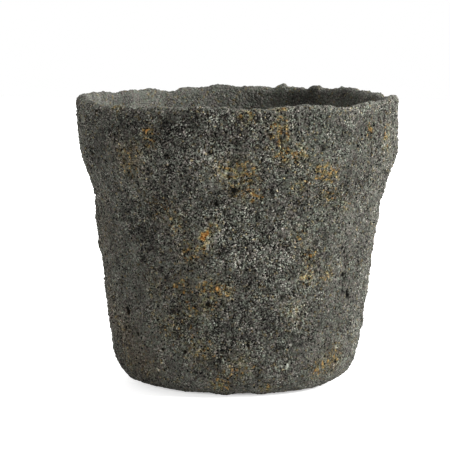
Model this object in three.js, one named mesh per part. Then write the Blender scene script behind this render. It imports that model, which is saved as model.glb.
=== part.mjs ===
// Flower pot with a torn lip, in millimetres, +Z up.
// The origin lies on the ground under the middle of the pot, and +Y is the back.
// A fired-clay core carries a coarse grit coat outside and a fine lining inside.
// A rubber plug closes the drain hole, and four felt pads stand under the foot.
import * as THREE from "three";

// Outline of the finished pot
const LIP_HEIGHT = 219.6; // mean crest of the lip above the ground
const COLLAR_RADIUS = 123.2; // outside of the upright collar
const COLLAR_DEPTH = 32; // upright band below the lip
const SHOULDER_DEPTH = 48; // soft step from the collar in to the wall
const WAIST_RADIUS = 110.4; // upper end of the tapered wall
const HEEL_RADIUS = 95.2; // lower end of the tapered wall
const HEEL_RISE = 24; // height of the rounded heel above the foot
const FOOT_RADIUS = 77; // edge of the flat underside
const HEEL_FULLNESS = 0.72; // share of the heel's rise in which it keeps the wall's slope
const SHOULDER_SOFTNESS = 0.3; // share of the shoulder's depth that eases in and out

// Layers of the wall, measured level, from the outside in
const COAT_WALL = 3.2;
const CORE_WALL = 5.2;
const LINING_WALL = 1.4;
const BOND_GAP = 0.3; // clearance between two layers
const CORE_FLOOR = 10;
const FLOOR_ROUND = 12; // round between the inside wall and the floor
const LIP_TURN = 9; // how far the coat turns down inside the lip

// Drain hole and its plug
const DRAIN_RADIUS = 11;
const PLUG_CLEARANCE = 0.35; // between the sealing ribs and the hole
const RIB_COUNT = 3;
const RIB_DEPTH = 1.1;
const RIB_HALF_WIDTH = 0.9;
const STEM_BEVEL = 1.1;
const STEM_RECESS = 1.5; // how far the stem stops short of the underside
const FLANGE_OVERLAP = 6; // reach of the flange beyond the hole
const FLANGE_THICKNESS = 2.6;
const FLANGE_BEVEL = 1.2;
const KNOB_RADIUS = 5;
const KNOB_NECK = 3.2;
const KNOB_RISE = 7; // from the flange to the top of the knob
const KNOB_CROWN = 2.6; // half the height of its round head

// Felt pads
const PAD_COUNT = 4;
const PAD_RADIUS = 12.5;
const PAD_THICKNESS = 2;
const PAD_INSET = 4; // from the coat's inner edge to the pad's rim

// Torn lip: direction in degrees from +X towards +Y, rise, and half width in degrees
const LIP_LOBES = [
  { at: 0, rise: 1.6, reach: 60 },
  { at: 180, rise: 1.8, reach: 12 },
  { at: 147, rise: -2.2, reach: 5 },
  { at: 135, rise: -0.8, reach: 8 },
  { at: 118, rise: -3, reach: 6 },
  { at: 108, rise: -0.4, reach: 4 },
  { at: 96, rise: 2, reach: 5 },
  { at: 84, rise: 0.5, reach: 7 },
  { at: 72, rise: 1.9, reach: 4 },
  { at: 65, rise: -0.6, reach: 4 },
  { at: 58, rise: 2.1, reach: 5 },
  { at: 51, rise: -0.5, reach: 5 },
  { at: 43, rise: 2.1, reach: 5 },
  { at: 35, rise: 0.8, reach: 5 },
  { at: 17, rise: -1.1, reach: 6 },
  { at: 355, rise: 1.9, reach: 6 },
  { at: 325, rise: 1, reach: 7 },
  { at: 313, rise: -1.6, reach: 6 },
  { at: 294, rise: 2, reach: 9 },
  { at: 276, rise: -0.8, reach: 6 },
  { at: 257, rise: 1.2, reach: 8 },
  { at: 230, rise: -1, reach: 6 },
  { at: 214, rise: -2.6, reach: 7 },
];

// Hand-pressed swells of the wall: whole waves round the pot, wave along the height, depth, turn
const WALL_SWELLS = [
  { round: 1, tall: 230, depth: 1, turn: 3.76 },
  { round: 2, tall: 190, depth: 0.55, turn: 0.6 },
  { round: 3, tall: -240, depth: 0.5, turn: 2.1 },
  { round: 5, tall: 150, depth: 0.35, turn: 4.0 },
  { round: 8, tall: -130, depth: 0.25, turn: 1.2 },
];
const SWELL_EASE = 45; // height over which the swells begin above the heel
const COLLAR_WANDER = 7; // how far the collar's lower edge wanders up and down

// Lumps that the hand left in the coat's outer face, given like the swells
const COAT_LUMPS = [
  { round: 14, tall: -160, depth: 0.48, turn: 4.8 },
  { round: 8, tall: 44, depth: 0.16, turn: 2.4 },
  { round: 10, tall: 54, depth: 0.17, turn: 5.3 },
  { round: 17, tall: 48, depth: 0.18, turn: 2.1 },
  { round: 3, tall: 38, depth: 0.26, turn: 1.7 },
  { round: 3, tall: -48, depth: 0.22, turn: 1.4 },
  { round: 11, tall: -110, depth: 0.28, turn: 5.2 },
];
const LUMP_EASE = 14; // height over which the lumps begin above the foot and end below the crest

// Fineness of the round surfaces
const ROUND_STEPS = 72;
const PLUG_STEPS = 28;
const PAD_STEPS = 20;
const OUTLINE_STEPS = 40;
const CREST_STEPS = 6;
const CORE_CREST_STEPS = 4;
const FLOOR_ROUND_STEPS = 3;
const KNOB_STEPS = 5;

// Heights and insets that follow from the sizes
const foot = PAD_THICKNESS;
const heelTop = foot + HEEL_RISE;
const collarBase = LIP_HEIGHT - COLLAR_DEPTH;
const waist = collarBase - SHOULDER_DEPTH;
const coreInset = COAT_WALL + BOND_GAP;
const coreInside = coreInset + CORE_WALL;
const liningInset = coreInside + BOND_GAP;
const wholeWall = liningInset + LINING_WALL;
const lipBase = LIP_HEIGHT - wholeWall / 2;
const coreFloorTop = foot + CORE_FLOOR;
const roundCentre = coreFloorTop + FLOOR_ROUND;
const liningFloor = coreFloorTop + BOND_GAP + LINING_WALL;
const coatHem = LIP_HEIGHT - LIP_TURN;

function v(radius, height) {
  return new THREE.Vector2(radius, height);
}

// Outline curves, each a radius against a height
const taper = (WAIST_RADIUS - HEEL_RADIUS) / (waist - heelTop);
const heelPull = HEEL_RISE * HEEL_FULLNESS;
const shoulderPull = SHOULDER_DEPTH * SHOULDER_SOFTNESS;
const heelCurve = new THREE.QuadraticBezierCurve(
  v(FOOT_RADIUS, foot),
  v(HEEL_RADIUS - taper * heelPull, heelTop - heelPull),
  v(HEEL_RADIUS, heelTop),
);
const wallLine = new THREE.LineCurve(v(HEEL_RADIUS, heelTop), v(WAIST_RADIUS, waist));
const shoulderCurve = new THREE.CubicBezierCurve(
  v(WAIST_RADIUS, waist),
  v(WAIST_RADIUS + taper * shoulderPull, waist + shoulderPull),
  v(COLLAR_RADIUS, collarBase - shoulderPull),
  v(COLLAR_RADIUS, collarBase),
);
const collarLine = new THREE.LineCurve(v(COLLAR_RADIUS, collarBase), v(COLLAR_RADIUS, lipBase));
const outlineParts = [heelCurve, wallLine, shoulderCurve, collarLine];
const outline = outlineParts.flatMap((part) => part.getPoints(OUTLINE_STEPS));

// Outside radius of the pot at a height
function radiusAt(height) {
  const upper = outline.findIndex((point) => point.y >= height);
  if (upper <= 0) {
    return outline[0].x;
  }
  const below = outline[upper - 1];
  const above = outline[upper];
  const share = (height - below.y) / (above.y - below.y);
  return below.x + share * (above.x - below.x);
}

// Heights along the four parts of the outline, from the foot to the lip
function outlineHeights(heelSteps, wallSteps, shoulderSteps, collarSteps) {
  const heights = [
    ...heelCurve.getPoints(heelSteps),
    ...wallLine.getPoints(wallSteps).slice(1),
    ...shoulderCurve.getPoints(shoulderSteps).slice(1),
    ...collarLine.getPoints(collarSteps).slice(1),
  ];
  return heights.map((point) => point.y);
}

// Heights of an inside face, from the floor round up to the collar's lower edge
function insideOnly(heights) {
  return [roundCentre, ...heights.filter((z) => z > Math.max(heelTop, roundCentre) && z <= collarBase)];
}

// Face of a layer, set in from the outline
function face(heights, inset) {
  return heights.map((height) => v(radiusAt(height) - inset, height));
}

// Half-round crest from the outer face over to the inner face
function crest(outer, inner, base, rise, steps) {
  const middle = (outer + inner) / 2;
  const half = (outer - inner) / 2;
  const angles = Array.from({ length: steps - 1 }, (_, i) => (Math.PI * (i + 1)) / steps);
  return angles.map((angle) => v(middle + half * Math.cos(angle), base + rise * Math.sin(angle)));
}

// Quarter round from the inside wall down to the floor, for a face set in from the core
function floorRound(inset, steps) {
  const centre = radiusAt(roundCentre) - coreInside - FLOOR_ROUND;
  const radius = FLOOR_ROUND - inset;
  const angles = Array.from({ length: steps }, (_, i) => (Math.PI * (i + 1)) / (2 * steps));
  const drop = (angle) => roundCentre - radius * Math.sin(angle);
  return angles.map((angle) => v(centre + radius * Math.cos(angle), drop(angle)));
}

// Rise of the torn lip in a direction
function lipRise(angle) {
  return LIP_LOBES.reduce((sum, lobe) => {
    const turn = angle - THREE.MathUtils.degToRad(lobe.at);
    const apart = Math.atan2(Math.sin(turn), Math.cos(turn));
    const share = apart / THREE.MathUtils.degToRad(lobe.reach);
    return sum + lobe.rise * Math.exp(-share * share);
  }, 0);
}

// Sum of slanting waves at a direction and height
function slantingWaves(waves, angle, height) {
  return waves.reduce((sum, wave) => {
    const phase = wave.round * angle + (2 * Math.PI * height) / wave.tall + wave.turn;
    return sum + wave.depth * Math.sin(phase);
  }, 0);
}

// Swell of the hand-pressed wall at a direction and height
function wallSwell(angle, height) {
  const begun = THREE.MathUtils.smoothstep(height, heelTop, heelTop + SWELL_EASE);
  return slantingWaves(WALL_SWELLS, angle, height) * begun;
}

// Lump of the coat's outer face at a direction and height
function coatLump(angle, height) {
  const begun = THREE.MathUtils.smoothstep(height, foot, foot + LUMP_EASE);
  const ended = THREE.MathUtils.smoothstep(height, lipBase - LUMP_EASE, lipBase);
  return slantingWaves(COAT_LUMPS, angle, height) * begun * (1 - ended);
}

// Moves every layer of the pot by the same hand-worked unevenness.
// The first rows of the profile, as many as are lumped, also get the coat's lumps.
function handwork(geometry, rows, lumped) {
  const place = geometry.attributes.position;
  for (let i = 0; i < place.count; i += 1) {
    const x = place.getX(i);
    const y = place.getY(i);
    const z = place.getZ(i);
    const angle = Math.atan2(y, x);
    const radius = Math.hypot(x, y);
    const lift = lipRise(angle) * THREE.MathUtils.smoothstep(z, collarBase, lipBase);
    const rising = THREE.MathUtils.smoothstep(z, waist, collarBase);
    const falling = 1 - THREE.MathUtils.smoothstep(z, collarBase, lipBase);
    const wander = -COLLAR_WANDER * Math.cos(angle) * rising * falling;
    const lump = i % rows < lumped ? coatLump(angle, z) : 0;
    const grown = (radius + wallSwell(angle, z) + lump) / radius;
    place.setXYZ(i, x * grown, y * grown, z + lift + wander);
  }
  geometry.computeVertexNormals();
  return geometry;
}

// Turns a profile of radius against height about the pot's axis.
// Every patch is split along the diagonal that falls as the angle grows, whichever way the profile runs,
// so the triangles of two layers that face each other match and the gap between them stays even.
function turned(profile, steps) {
  const lathe = new THREE.LatheGeometry(profile, steps);
  const rows = profile.length;
  const triangles = [];
  for (let column = 0; column < steps; column += 1) {
    for (let row = 0; row + 1 < rows; row += 1) {
      const a = column * rows + row;
      const b = a + rows;
      const c = b + 1;
      const d = a + 1;
      const rising = profile[row + 1].y > profile[row].y;
      triangles.push(...(rising ? [a, b, d, c, d, b] : [a, b, c, a, c, d]));
    }
  }
  lathe.setIndex(triangles);
  return lathe.rotateX(Math.PI / 2);
}

// A layer of the pot: its profile closed, turned and worked by hand
function layer(profile, lumped) {
  const closed = [...profile, profile[0]];
  return handwork(turned(closed, ROUND_STEPS), closed.length, lumped);
}

function piece(name, geometry, color, roughness) {
  const material = new THREE.MeshStandardMaterial({ color, roughness, metalness: 0 });
  material.name = name.replace(/_\d+$/, "");
  const mesh = new THREE.Mesh(geometry, material);
  mesh.name = name;
  return mesh;
}

// Heights that the faces of the layers are sampled at, finer where they show
const outsideHeights = outlineHeights(4, 11, 6, 3);
const bondHeights = outlineHeights(2, 2, 3, 1).filter((z) => z <= collarBase);
const insideHeights = insideOnly(outlineHeights(1, 2, 3, 1));
const openHeights = insideOnly(outlineHeights(1, 3, 3, 1));
const liningTop = coatHem - BOND_GAP;
const coreLipBase = LIP_HEIGHT - coreInset - CORE_WALL / 2;

// Grit coat: outside face, crest, hem inside the lip, then back down along the core
function gritCoat() {
  const inner = COLLAR_RADIUS - wholeWall;
  const hemOut = COLLAR_RADIUS - liningInset;
  const coreSide = COLLAR_RADIUS - COAT_WALL;
  const coreCrestRise = CORE_WALL / 2 + BOND_GAP;
  const profile = [
    ...face(outsideHeights, 0),
    ...crest(COLLAR_RADIUS, inner, lipBase, wholeWall / 2, CREST_STEPS),
    v(inner, lipBase),
    v(inner, coatHem),
    v(hemOut, coatHem),
    v(hemOut, coreLipBase),
    ...crest(coreSide, hemOut, coreLipBase, coreCrestRise, CORE_CREST_STEPS).reverse(),
    v(coreSide, coreLipBase),
    ...face(bondHeights, COAT_WALL).reverse(),
  ];
  return layer(profile, outsideHeights.length);
}

// Clay core: underside, outer face, crest, inner face, floor and drain hole
function clayCore() {
  const outer = COLLAR_RADIUS - coreInset;
  const inner = COLLAR_RADIUS - coreInside;
  const profile = [
    v(DRAIN_RADIUS, foot),
    ...face(bondHeights, coreInset),
    v(outer, coreLipBase),
    ...crest(outer, inner, coreLipBase, CORE_WALL / 2, CORE_CREST_STEPS),
    v(inner, coreLipBase),
    v(inner, coatHem),
    ...face(insideHeights, coreInside).reverse(),
    ...floorRound(0, FLOOR_ROUND_STEPS),
    v(DRAIN_RADIUS, coreFloorTop),
  ];
  return layer(profile, 0);
}

// Lining: the face against the core, then the open face of the floor and wall
function innerLining() {
  const floorRing = (DRAIN_RADIUS + FOOT_RADIUS) / 2;
  const profile = [
    v(DRAIN_RADIUS, coreFloorTop + BOND_GAP),
    ...floorRound(BOND_GAP, FLOOR_ROUND_STEPS).reverse(),
    ...face(insideHeights, liningInset),
    v(COLLAR_RADIUS - liningInset, liningTop),
    v(COLLAR_RADIUS - wholeWall, liningTop),
    ...face(openHeights, wholeWall).reverse(),
    ...floorRound(BOND_GAP + LINING_WALL, FLOOR_ROUND_STEPS),
    v(floorRing, liningFloor),
    v(DRAIN_RADIUS, liningFloor),
  ];
  return layer(profile, 0);
}

// Plug: ribbed stem, flange that lies on the lining, and a pull knob
function drainPlug() {
  const rib = DRAIN_RADIUS - PLUG_CLEARANCE;
  const stem = rib - RIB_DEPTH;
  const bottom = foot + STEM_RECESS;
  const pitch = (liningFloor - bottom) / (RIB_COUNT + 0.5);
  const ribs = Array.from({ length: RIB_COUNT }, (_, i) => bottom + pitch * (i + 0.5));
  const flange = DRAIN_RADIUS + FLANGE_OVERLAP;
  const flangeTop = liningFloor + FLANGE_THICKNESS;
  const headCentre = flangeTop + KNOB_RISE - KNOB_CROWN;
  const undercut = -Math.acos(KNOB_NECK / KNOB_RADIUS);
  const headTurns = Array.from({ length: KNOB_STEPS }, (_, i) => i / KNOB_STEPS);
  const headAngles = headTurns.map((share) => undercut + share * (Math.PI / 2 - undercut));
  const profile = [
    v(0, bottom),
    v(stem - STEM_BEVEL, bottom),
    ...ribs.flatMap((z) => [v(stem, z - RIB_HALF_WIDTH), v(rib, z), v(stem, z + RIB_HALF_WIDTH)]),
    v(stem, liningFloor),
    v(flange, liningFloor),
    v(flange, flangeTop - FLANGE_BEVEL),
    v(flange - FLANGE_BEVEL, flangeTop),
    v(KNOB_NECK, flangeTop),
    ...headAngles.map((a) => v(KNOB_RADIUS * Math.cos(a), headCentre + KNOB_CROWN * Math.sin(a))),
    v(0, headCentre + KNOB_CROWN),
  ];
  return turned(profile, PLUG_STEPS);
}

// Felt pad, flat against the underside of the core
function feltPad(index) {
  const circle = FOOT_RADIUS - COAT_WALL - PAD_INSET - PAD_RADIUS;
  const angle = (2 * Math.PI * (index + 0.5)) / PAD_COUNT;
  const disc = new THREE.CylinderGeometry(PAD_RADIUS, PAD_RADIUS, PAD_THICKNESS, PAD_STEPS);
  disc.rotateX(Math.PI / 2);
  disc.translate(circle * Math.cos(angle), circle * Math.sin(angle), PAD_THICKNESS / 2);
  return disc;
}

const pot = new THREE.Group();
pot.name = "flower_pot";
pot.add(piece("clay_core", clayCore(), 0x6b5a4c, 0.95));
pot.add(piece("grit_coat", gritCoat(), 0x514f48, 0.95));
pot.add(piece("inner_lining", innerLining(), 0x68665f, 0.9));
pot.add(piece("drain_plug", drainPlug(), 0x1d1d1c, 0.7));
for (let i = 0; i < PAD_COUNT; i += 1) {
  pot.add(piece(`felt_pad_${i + 1}`, feltPad(i), 0x3d3a36, 1));
}

export default pot;
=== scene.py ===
# %% [markdown]
# # A rough flower pot with a torn lip
# The real pot is a fired-clay core under a hand-pressed coat of cement and grit. A finer lining covers
# the inside, a rubber plug closes the drain hole and four felt pads stand under the foot. The packed
# solids give every size and place. This lesson keeps them as they are and lays the visible skin over
# them, grain by grain.

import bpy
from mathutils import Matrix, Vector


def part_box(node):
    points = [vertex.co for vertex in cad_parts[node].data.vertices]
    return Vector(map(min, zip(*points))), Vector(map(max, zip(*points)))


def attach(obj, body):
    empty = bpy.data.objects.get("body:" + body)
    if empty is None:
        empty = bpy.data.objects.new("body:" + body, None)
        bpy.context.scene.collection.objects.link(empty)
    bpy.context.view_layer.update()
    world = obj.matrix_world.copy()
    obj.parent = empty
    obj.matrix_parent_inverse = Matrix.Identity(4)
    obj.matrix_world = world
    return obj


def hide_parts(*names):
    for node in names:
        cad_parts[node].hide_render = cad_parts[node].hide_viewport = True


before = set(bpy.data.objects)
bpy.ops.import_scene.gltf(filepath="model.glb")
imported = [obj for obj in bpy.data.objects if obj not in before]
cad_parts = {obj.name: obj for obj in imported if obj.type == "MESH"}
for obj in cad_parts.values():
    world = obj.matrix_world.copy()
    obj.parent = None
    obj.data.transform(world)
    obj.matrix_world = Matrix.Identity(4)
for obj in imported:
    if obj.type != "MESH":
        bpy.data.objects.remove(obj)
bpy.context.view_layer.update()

import bpy
import numpy as np
from mathutils import Matrix, Vector

MM = 0.001
TURN = 2 * np.pi

# %% [markdown]
# ## The outline
# A potter thinks of a pot as a profile that is turned. A curve with a Screw modifier could turn it, but
# the grit needs a place for every grain, so the profile is a path of radius and height that is walked by
# its length: from the foot up the outside, over the lip, down the inside and across the floor to the
# drain hole. One walk for both sides lets the coat run over the lip into the lining with no step.

# %% Sizes of the turned outline
LIP_HEIGHT = 219.6 * MM
COLLAR_RADIUS = 123.2 * MM
COLLAR_DEPTH = 32 * MM
SHOULDER_DEPTH = 48 * MM
WAIST_RADIUS = 110.4 * MM
HEEL_RADIUS = 95.2 * MM
HEEL_RISE = 24 * MM
FOOT_RADIUS = 77 * MM
HEEL_FULLNESS = 0.72
SHOULDER_SOFTNESS = 0.3
COAT_WALL = 3.2 * MM
LINING_WALL = 1.4 * MM
WHOLE_WALL = 10.4 * MM
LIP_TURN = 9 * MM
FLOOR_ROUND = 10.3 * MM
DRAIN_RADIUS = 11 * MM
STEM_LENGTH = 10.2 * MM

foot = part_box("felt_pad_1")[1].z
stem_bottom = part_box("drain_plug")[0].z
lining_floor = stem_bottom + STEM_LENGTH
heel_top = foot + HEEL_RISE
collar_base = LIP_HEIGHT - COLLAR_DEPTH
waist = collar_base - SHOULDER_DEPTH
lip_base = LIP_HEIGHT - WHOLE_WALL / 2
taper = (WAIST_RADIUS - HEEL_RADIUS) / (waist - heel_top)
print(f"foot at {foot:.4f}, waist at {waist:.4f}, lip base at {lip_base:.4f}, floor at {lining_floor:.4f}")


# %% Curves that the outline is made of
def bezier(points, steps=400):
    """Bezier curve of any degree: each round of mixing replaces the points by those between neighbours."""
    share = np.linspace(0, 1, steps)[:, None]
    level = [np.asarray(p, float)[None, :] for p in points]
    while len(level) > 1:
        level = [a + (b - a) * share for a, b in zip(level, level[1:])]
    return np.broadcast_to(level[0], (steps, 2))


def arc(centre, half_width, half_height, first, last, steps=200):
    """Part of an ellipse: centre + (half_width cos a, half_height sin a), with a in degrees."""
    angle = np.radians(np.linspace(first, last, steps))
    offset = np.stack([half_width * np.cos(angle), half_height * np.sin(angle)], axis=1)
    return np.asarray(centre) + offset


heel_pull = HEEL_RISE * HEEL_FULLNESS
shoulder_pull = SHOULDER_DEPTH * SHOULDER_SOFTNESS
outside_parts = {
    "heel": bezier([
        (FOOT_RADIUS, foot),
        (HEEL_RADIUS - taper * heel_pull, heel_top - heel_pull),
        (HEEL_RADIUS, heel_top),
    ]),
    "wall": bezier([(HEEL_RADIUS, heel_top), (WAIST_RADIUS, waist)]),
    "shoulder": bezier([
        (WAIST_RADIUS, waist),
        (WAIST_RADIUS + taper * shoulder_pull, waist + shoulder_pull),
        (COLLAR_RADIUS, collar_base - shoulder_pull),
        (COLLAR_RADIUS, collar_base),
    ]),
    "collar": bezier([(COLLAR_RADIUS, collar_base), (COLLAR_RADIUS, lip_base)]),
}
outside = np.concatenate(list(outside_parts.values()))
print("outline points up the outside:", len(outside))

# %% Walk over the lip and down the inside
INSIDE_STEPS = 600

lip_inner = COLLAR_RADIUS - WHOLE_WALL
hem = LIP_HEIGHT - LIP_TURN
round_centre = lining_floor + FLOOR_ROUND
inside_heights = np.linspace(hem, round_centre, INSIDE_STEPS)
inside_wall = np.interp(inside_heights, outside[:, 1], outside[:, 0]) - WHOLE_WALL
round_radius = inside_wall[-1] - FLOOR_ROUND
walk_parts = {
    **outside_parts,
    "crest": arc((COLLAR_RADIUS - WHOLE_WALL / 2, lip_base), WHOLE_WALL / 2, WHOLE_WALL / 2, 0, 180),
    "hem": bezier([(lip_inner, lip_base), (lip_inner, hem)]),
    "inside": np.stack([inside_wall, inside_heights], axis=1),
    "round": arc((round_radius, round_centre), FLOOR_ROUND, FLOOR_ROUND, 0, -90),
    "floor": bezier([(round_radius, lining_floor), (DRAIN_RADIUS, lining_floor)]),
}
path = np.concatenate(list(walk_parts.values()))
walk = np.concatenate([[0], np.cumsum(np.hypot(*np.diff(path, axis=0).T))])
part_ends = np.cumsum([len(part) for part in walk_parts.values()]) - 1
ends = dict(zip(walk_parts, walk[part_ends]))
print("walked length at the end of each part, mm:", {k: round(v / MM, 1) for k, v in ends.items()})

# %% [markdown]
# ## The hand in the clay
# No two places of a hand-pressed pot are alike: the lip is torn into lobes and notches, the collar's
# lower edge wanders, the wall swells and the coat is lumpy. A sculptor would push this by hand. Here each
# mark of the hand is a term of a formula, the same one that the solids follow, so skin and solids stay
# together all the way round.

# %% Lobes of the lip, swells of the wall and lumps of the coat
LIP_LOBES = [  # direction in degrees from +X towards +Y, rise in mm, half width in degrees
    (0, 1.6, 60), (180, 1.8, 12), (147, -2.2, 5), (135, -0.8, 8), (118, -3, 6), (108, -0.4, 4),
    (96, 2, 5), (84, 0.5, 7), (72, 1.9, 4), (65, -0.6, 4), (58, 2.1, 5), (51, -0.5, 5), (43, 2.1, 5),
    (35, 0.8, 5), (17, -1.1, 6), (355, 1.9, 6), (325, 1, 7), (313, -1.6, 6), (294, 2, 9), (276, -0.8, 6),
    (257, 1.2, 8), (230, -1, 6), (214, -2.6, 7),
]
WALL_SWELLS = [  # waves round the pot, wave length along the height in mm, depth in mm, turn
    (1, 230, 1, 3.76), (2, 190, 0.55, 0.6), (3, -240, 0.5, 2.1), (5, 150, 0.35, 4.0),
    (8, -130, 0.25, 1.2),
]
COAT_LUMPS = [  # the same four values, for the coat's outer face alone
    (14, -160, 0.48, 4.8), (8, 44, 0.16, 2.4), (10, 54, 0.17, 5.3), (17, 48, 0.18, 2.1),
    (3, 38, 0.26, 1.7), (3, -48, 0.22, 1.4), (11, -110, 0.28, 5.2),
]
LIP_TEARS = [  # small tears of the coat alone: the lobes' three values
    (150, 0.8, 3), (124, 0.6, 3), (118, -0.6, 2.5), (112, 1, 3), (92.5, -0.8, 2.5), (78.5, 0.7, 1.4),
    (74.8, -1.7, 2), (71, 1.4, 1.5), (65.9, 0.5, 1.5), (63.3, 0.3, 1.2), (60.5, -2.1, 1.6),
    (55, 1.2, 1.8), (13, -2, 5), (2, -1.8, 6), (170, -0.7, 5), (180, -0.6, 6),
]
print("lobes:", len(LIP_LOBES), "tears:", len(LIP_TEARS), "waves:", len(WALL_SWELLS) + len(COAT_LUMPS))


# %% Formulas of the hand
TATTER_RISE = 0.25 * MM
TATTER_WAVES = 16
TATTER_FEWEST = 25
TATTER_MOST = 110
TATTER_SEED = 8


def smoothstep(value, low, high):
    """0 below low, 1 above high, and 3t^2 - 2t^3 between them."""
    t = np.clip((value - low) / (high - low), 0, 1)
    return t * t * (3 - 2 * t)


def bells(theta, lobes):
    """Sum of bell curves round the pot: rise * exp(-(turn apart / half width)^2)."""
    total = np.zeros_like(theta)
    for at, rise, reach in lobes:
        apart = np.degrees(np.angle(np.exp(1j * (theta - np.radians(at)))))
        total += rise * MM * np.exp(-((apart / reach) ** 2))
    return total


def lip_tatter(theta):
    """Tears of the coat's lip: bell curves plus cosines with random whole numbers of waves round it."""
    draw = np.random.default_rng(TATTER_SEED).random((2, TATTER_WAVES))
    counts = np.round(TATTER_FEWEST + (TATTER_MOST - TATTER_FEWEST) * draw[0])
    waves = sum(np.cos(n * theta + TURN * phase) for n, phase in zip(counts, draw[1]))
    return bells(theta, LIP_TEARS) + TATTER_RISE * waves / np.sqrt(TATTER_WAVES / 2)


def slanting_waves(waves, theta, height):
    """Sum of depth * sin(round * theta + 2 pi height / tall + turn) over the waves."""
    return sum(
        depth * MM * np.sin(count * theta + TURN * height / (tall * MM) + turn)
        for count, tall, depth, turn in waves
    )


print("rise of the lip right, left and back, in mm:", bells(np.radians([0, 180, 90]), LIP_LOBES) / MM)

# %% Skin without its grit
SWELL_EASE = 45 * MM
LUMP_EASE = 14 * MM
TATTER_EASE = 2 * LUMP_EASE / 3
COLLAR_WANDER = 7 * MM


def wall_swell(theta, height):
    """Swells of all the layers together, eased in above the heel."""
    return slanting_waves(WALL_SWELLS, theta, height) * smoothstep(height, heel_top, heel_top + SWELL_EASE)


def coat_lump(theta, height):
    """Lumps of the coat's outer face, eased in above the foot and out below the crest."""
    begun = smoothstep(height, foot, foot + LUMP_EASE)
    ended = smoothstep(height, lip_base - LUMP_EASE, lip_base)
    return slanting_waves(COAT_LUMPS, theta, height) * begun * (1 - ended)


def bare_skin(theta, s, lumped=True):
    """The turned and hand-worked form without its grit: points[len(s), len(theta), 3]."""
    turn = theta[None, :]
    radius = np.interp(s, walk, path[:, 0])[:, None]
    height = np.interp(s, walk, path[:, 1])[:, None]
    near_lip = smoothstep(height, collar_base, lip_base)
    wander = -COLLAR_WANDER * np.cos(turn) * smoothstep(height, waist, collar_base) * (1 - near_lip)
    on_coat = lumped * (s < ends["collar"])[:, None]
    grown = radius + wall_swell(turn, height) + coat_lump(turn, height) * on_coat
    tatter = lip_tatter(turn) * smoothstep(height, lip_base - TATTER_EASE, lip_base)
    level = height + bells(turn, LIP_LOBES) * near_lip + wander + tatter
    return np.stack([grown * np.cos(turn), grown * np.sin(turn), level], axis=2)


def outward(points):
    """Unit normals of a grid that closes round the pot: the cross product of its two directions."""
    round_pot = np.roll(points, -1, axis=1) - np.roll(points, 1, axis=1)
    normal = np.cross(round_pot, np.gradient(points, axis=0))
    return normal / np.linalg.norm(normal, axis=2, keepdims=True)


PROBE_COLUMNS = 720
PROBE_ROWS = 800
probe = bare_skin(np.linspace(0, TURN, PROBE_COLUMNS), np.linspace(0, ends["hem"], PROBE_ROWS))
coat_low, coat_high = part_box("grit_coat")
print("formula's coat:", probe.min(axis=(0, 1)).round(4), probe.max(axis=(0, 1)).round(4))
print("packed coat:   ", np.round(coat_low, 4), np.round(coat_high, 4))

# %% [markdown]
# ## The camera
# The photograph was taken from a little above the lip with a long lens. The camera comes early, because
# rust flecks and dents are placed by their pixel in the picture and then sit on the skin that carries
# them.

# %% Camera at the photograph's place
PICTURE = 450
CAMERA_PLACE = Vector((0, -2.050, 0.3662))
FOCAL_PIXELS = 2667
LOOK_DOWN = np.radians(6.843)
LOOK_LEFT = np.radians(0.243)
ROLL = np.radians(0.408)
SENSOR_MM = 36
FAR_CLIP = 50

camera_data = bpy.data.cameras.new("camera")
camera_data.sensor_width = SENSOR_MM
camera_data.lens = FOCAL_PIXELS / PICTURE * SENSOR_MM
camera_data.clip_end = FAR_CLIP
camera = bpy.data.objects.new("camera", camera_data)
camera.matrix_world = (
    Matrix.Translation(CAMERA_PLACE)
    @ Matrix.Rotation(LOOK_LEFT, 4, "Z")
    @ Matrix.Rotation(np.pi / 2 - LOOK_DOWN, 4, "X")
    @ Matrix.Rotation(ROLL, 4, "Z")
)
bpy.context.scene.collection.objects.link(camera)
bpy.context.scene.camera = camera


def to_pixels(points):
    """Picture place of points[..., 3]: the middle plus the focal length times the offset over the depth."""
    view = np.array(camera.matrix_world.inverted())
    local = points @ view[:3, :3].T + view[:3, 3]
    scale = FOCAL_PIXELS / -local[..., 2]
    return PICTURE / 2 + local[..., 0] * scale, PICTURE / 2 - local[..., 1] * scale


print("lens in mm:", round(camera_data.lens, 2), "middle of the foot at pixel", to_pixels(np.zeros(3)))

# %% [markdown]
# ## The grid of the skin
# The coat is one grid: rows follow the walk from the foot over the lip to the hem inside, columns go
# round. Its step is little more than half a millimetre, fine enough for single grains of grit. Everything
# that differs from place to place is an array on this grid, and a spot seen in the photograph finds its
# row and column through the camera.

# %% Rows and columns of the outside
COLUMNS = 1200
ROW_STEP = 0.56 * MM
BAND_COUNT = 6
theta = np.arange(COLUMNS) * (TURN / COLUMNS)
band_rows = int(ends["hem"] / ROW_STEP / BAND_COUNT)
rows_outside = band_rows * BAND_COUNT + 1
s_outside = np.linspace(0, ends["hem"], rows_outside)
bare = bare_skin(theta, s_outside)
normals = outward(bare)
seen_x, seen_y = to_pixels(bare)
faces_camera = np.einsum("ijk,ijk->ij", normals, np.array(CAMERA_PLACE) - bare) > 0
print("outside grid:", bare.shape)


# %% Spots on the grid
# The far side is the first half of the turn. Marks by chance keep off its two ends and off the lip.
FAR_SIDE_START = 0.03
FAR_SIDE_SHARE = 0.94
CLIMB_SHARE = 0.93


def nearest_on_front(across, down):
    """Row and column of the grid point that the camera sees nearest to a pixel."""
    apart = np.where(faces_camera, (seen_x - across) ** 2 + (seen_y - down) ** 2, np.inf)
    return np.unravel_index(np.argmin(apart), apart.shape)


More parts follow.
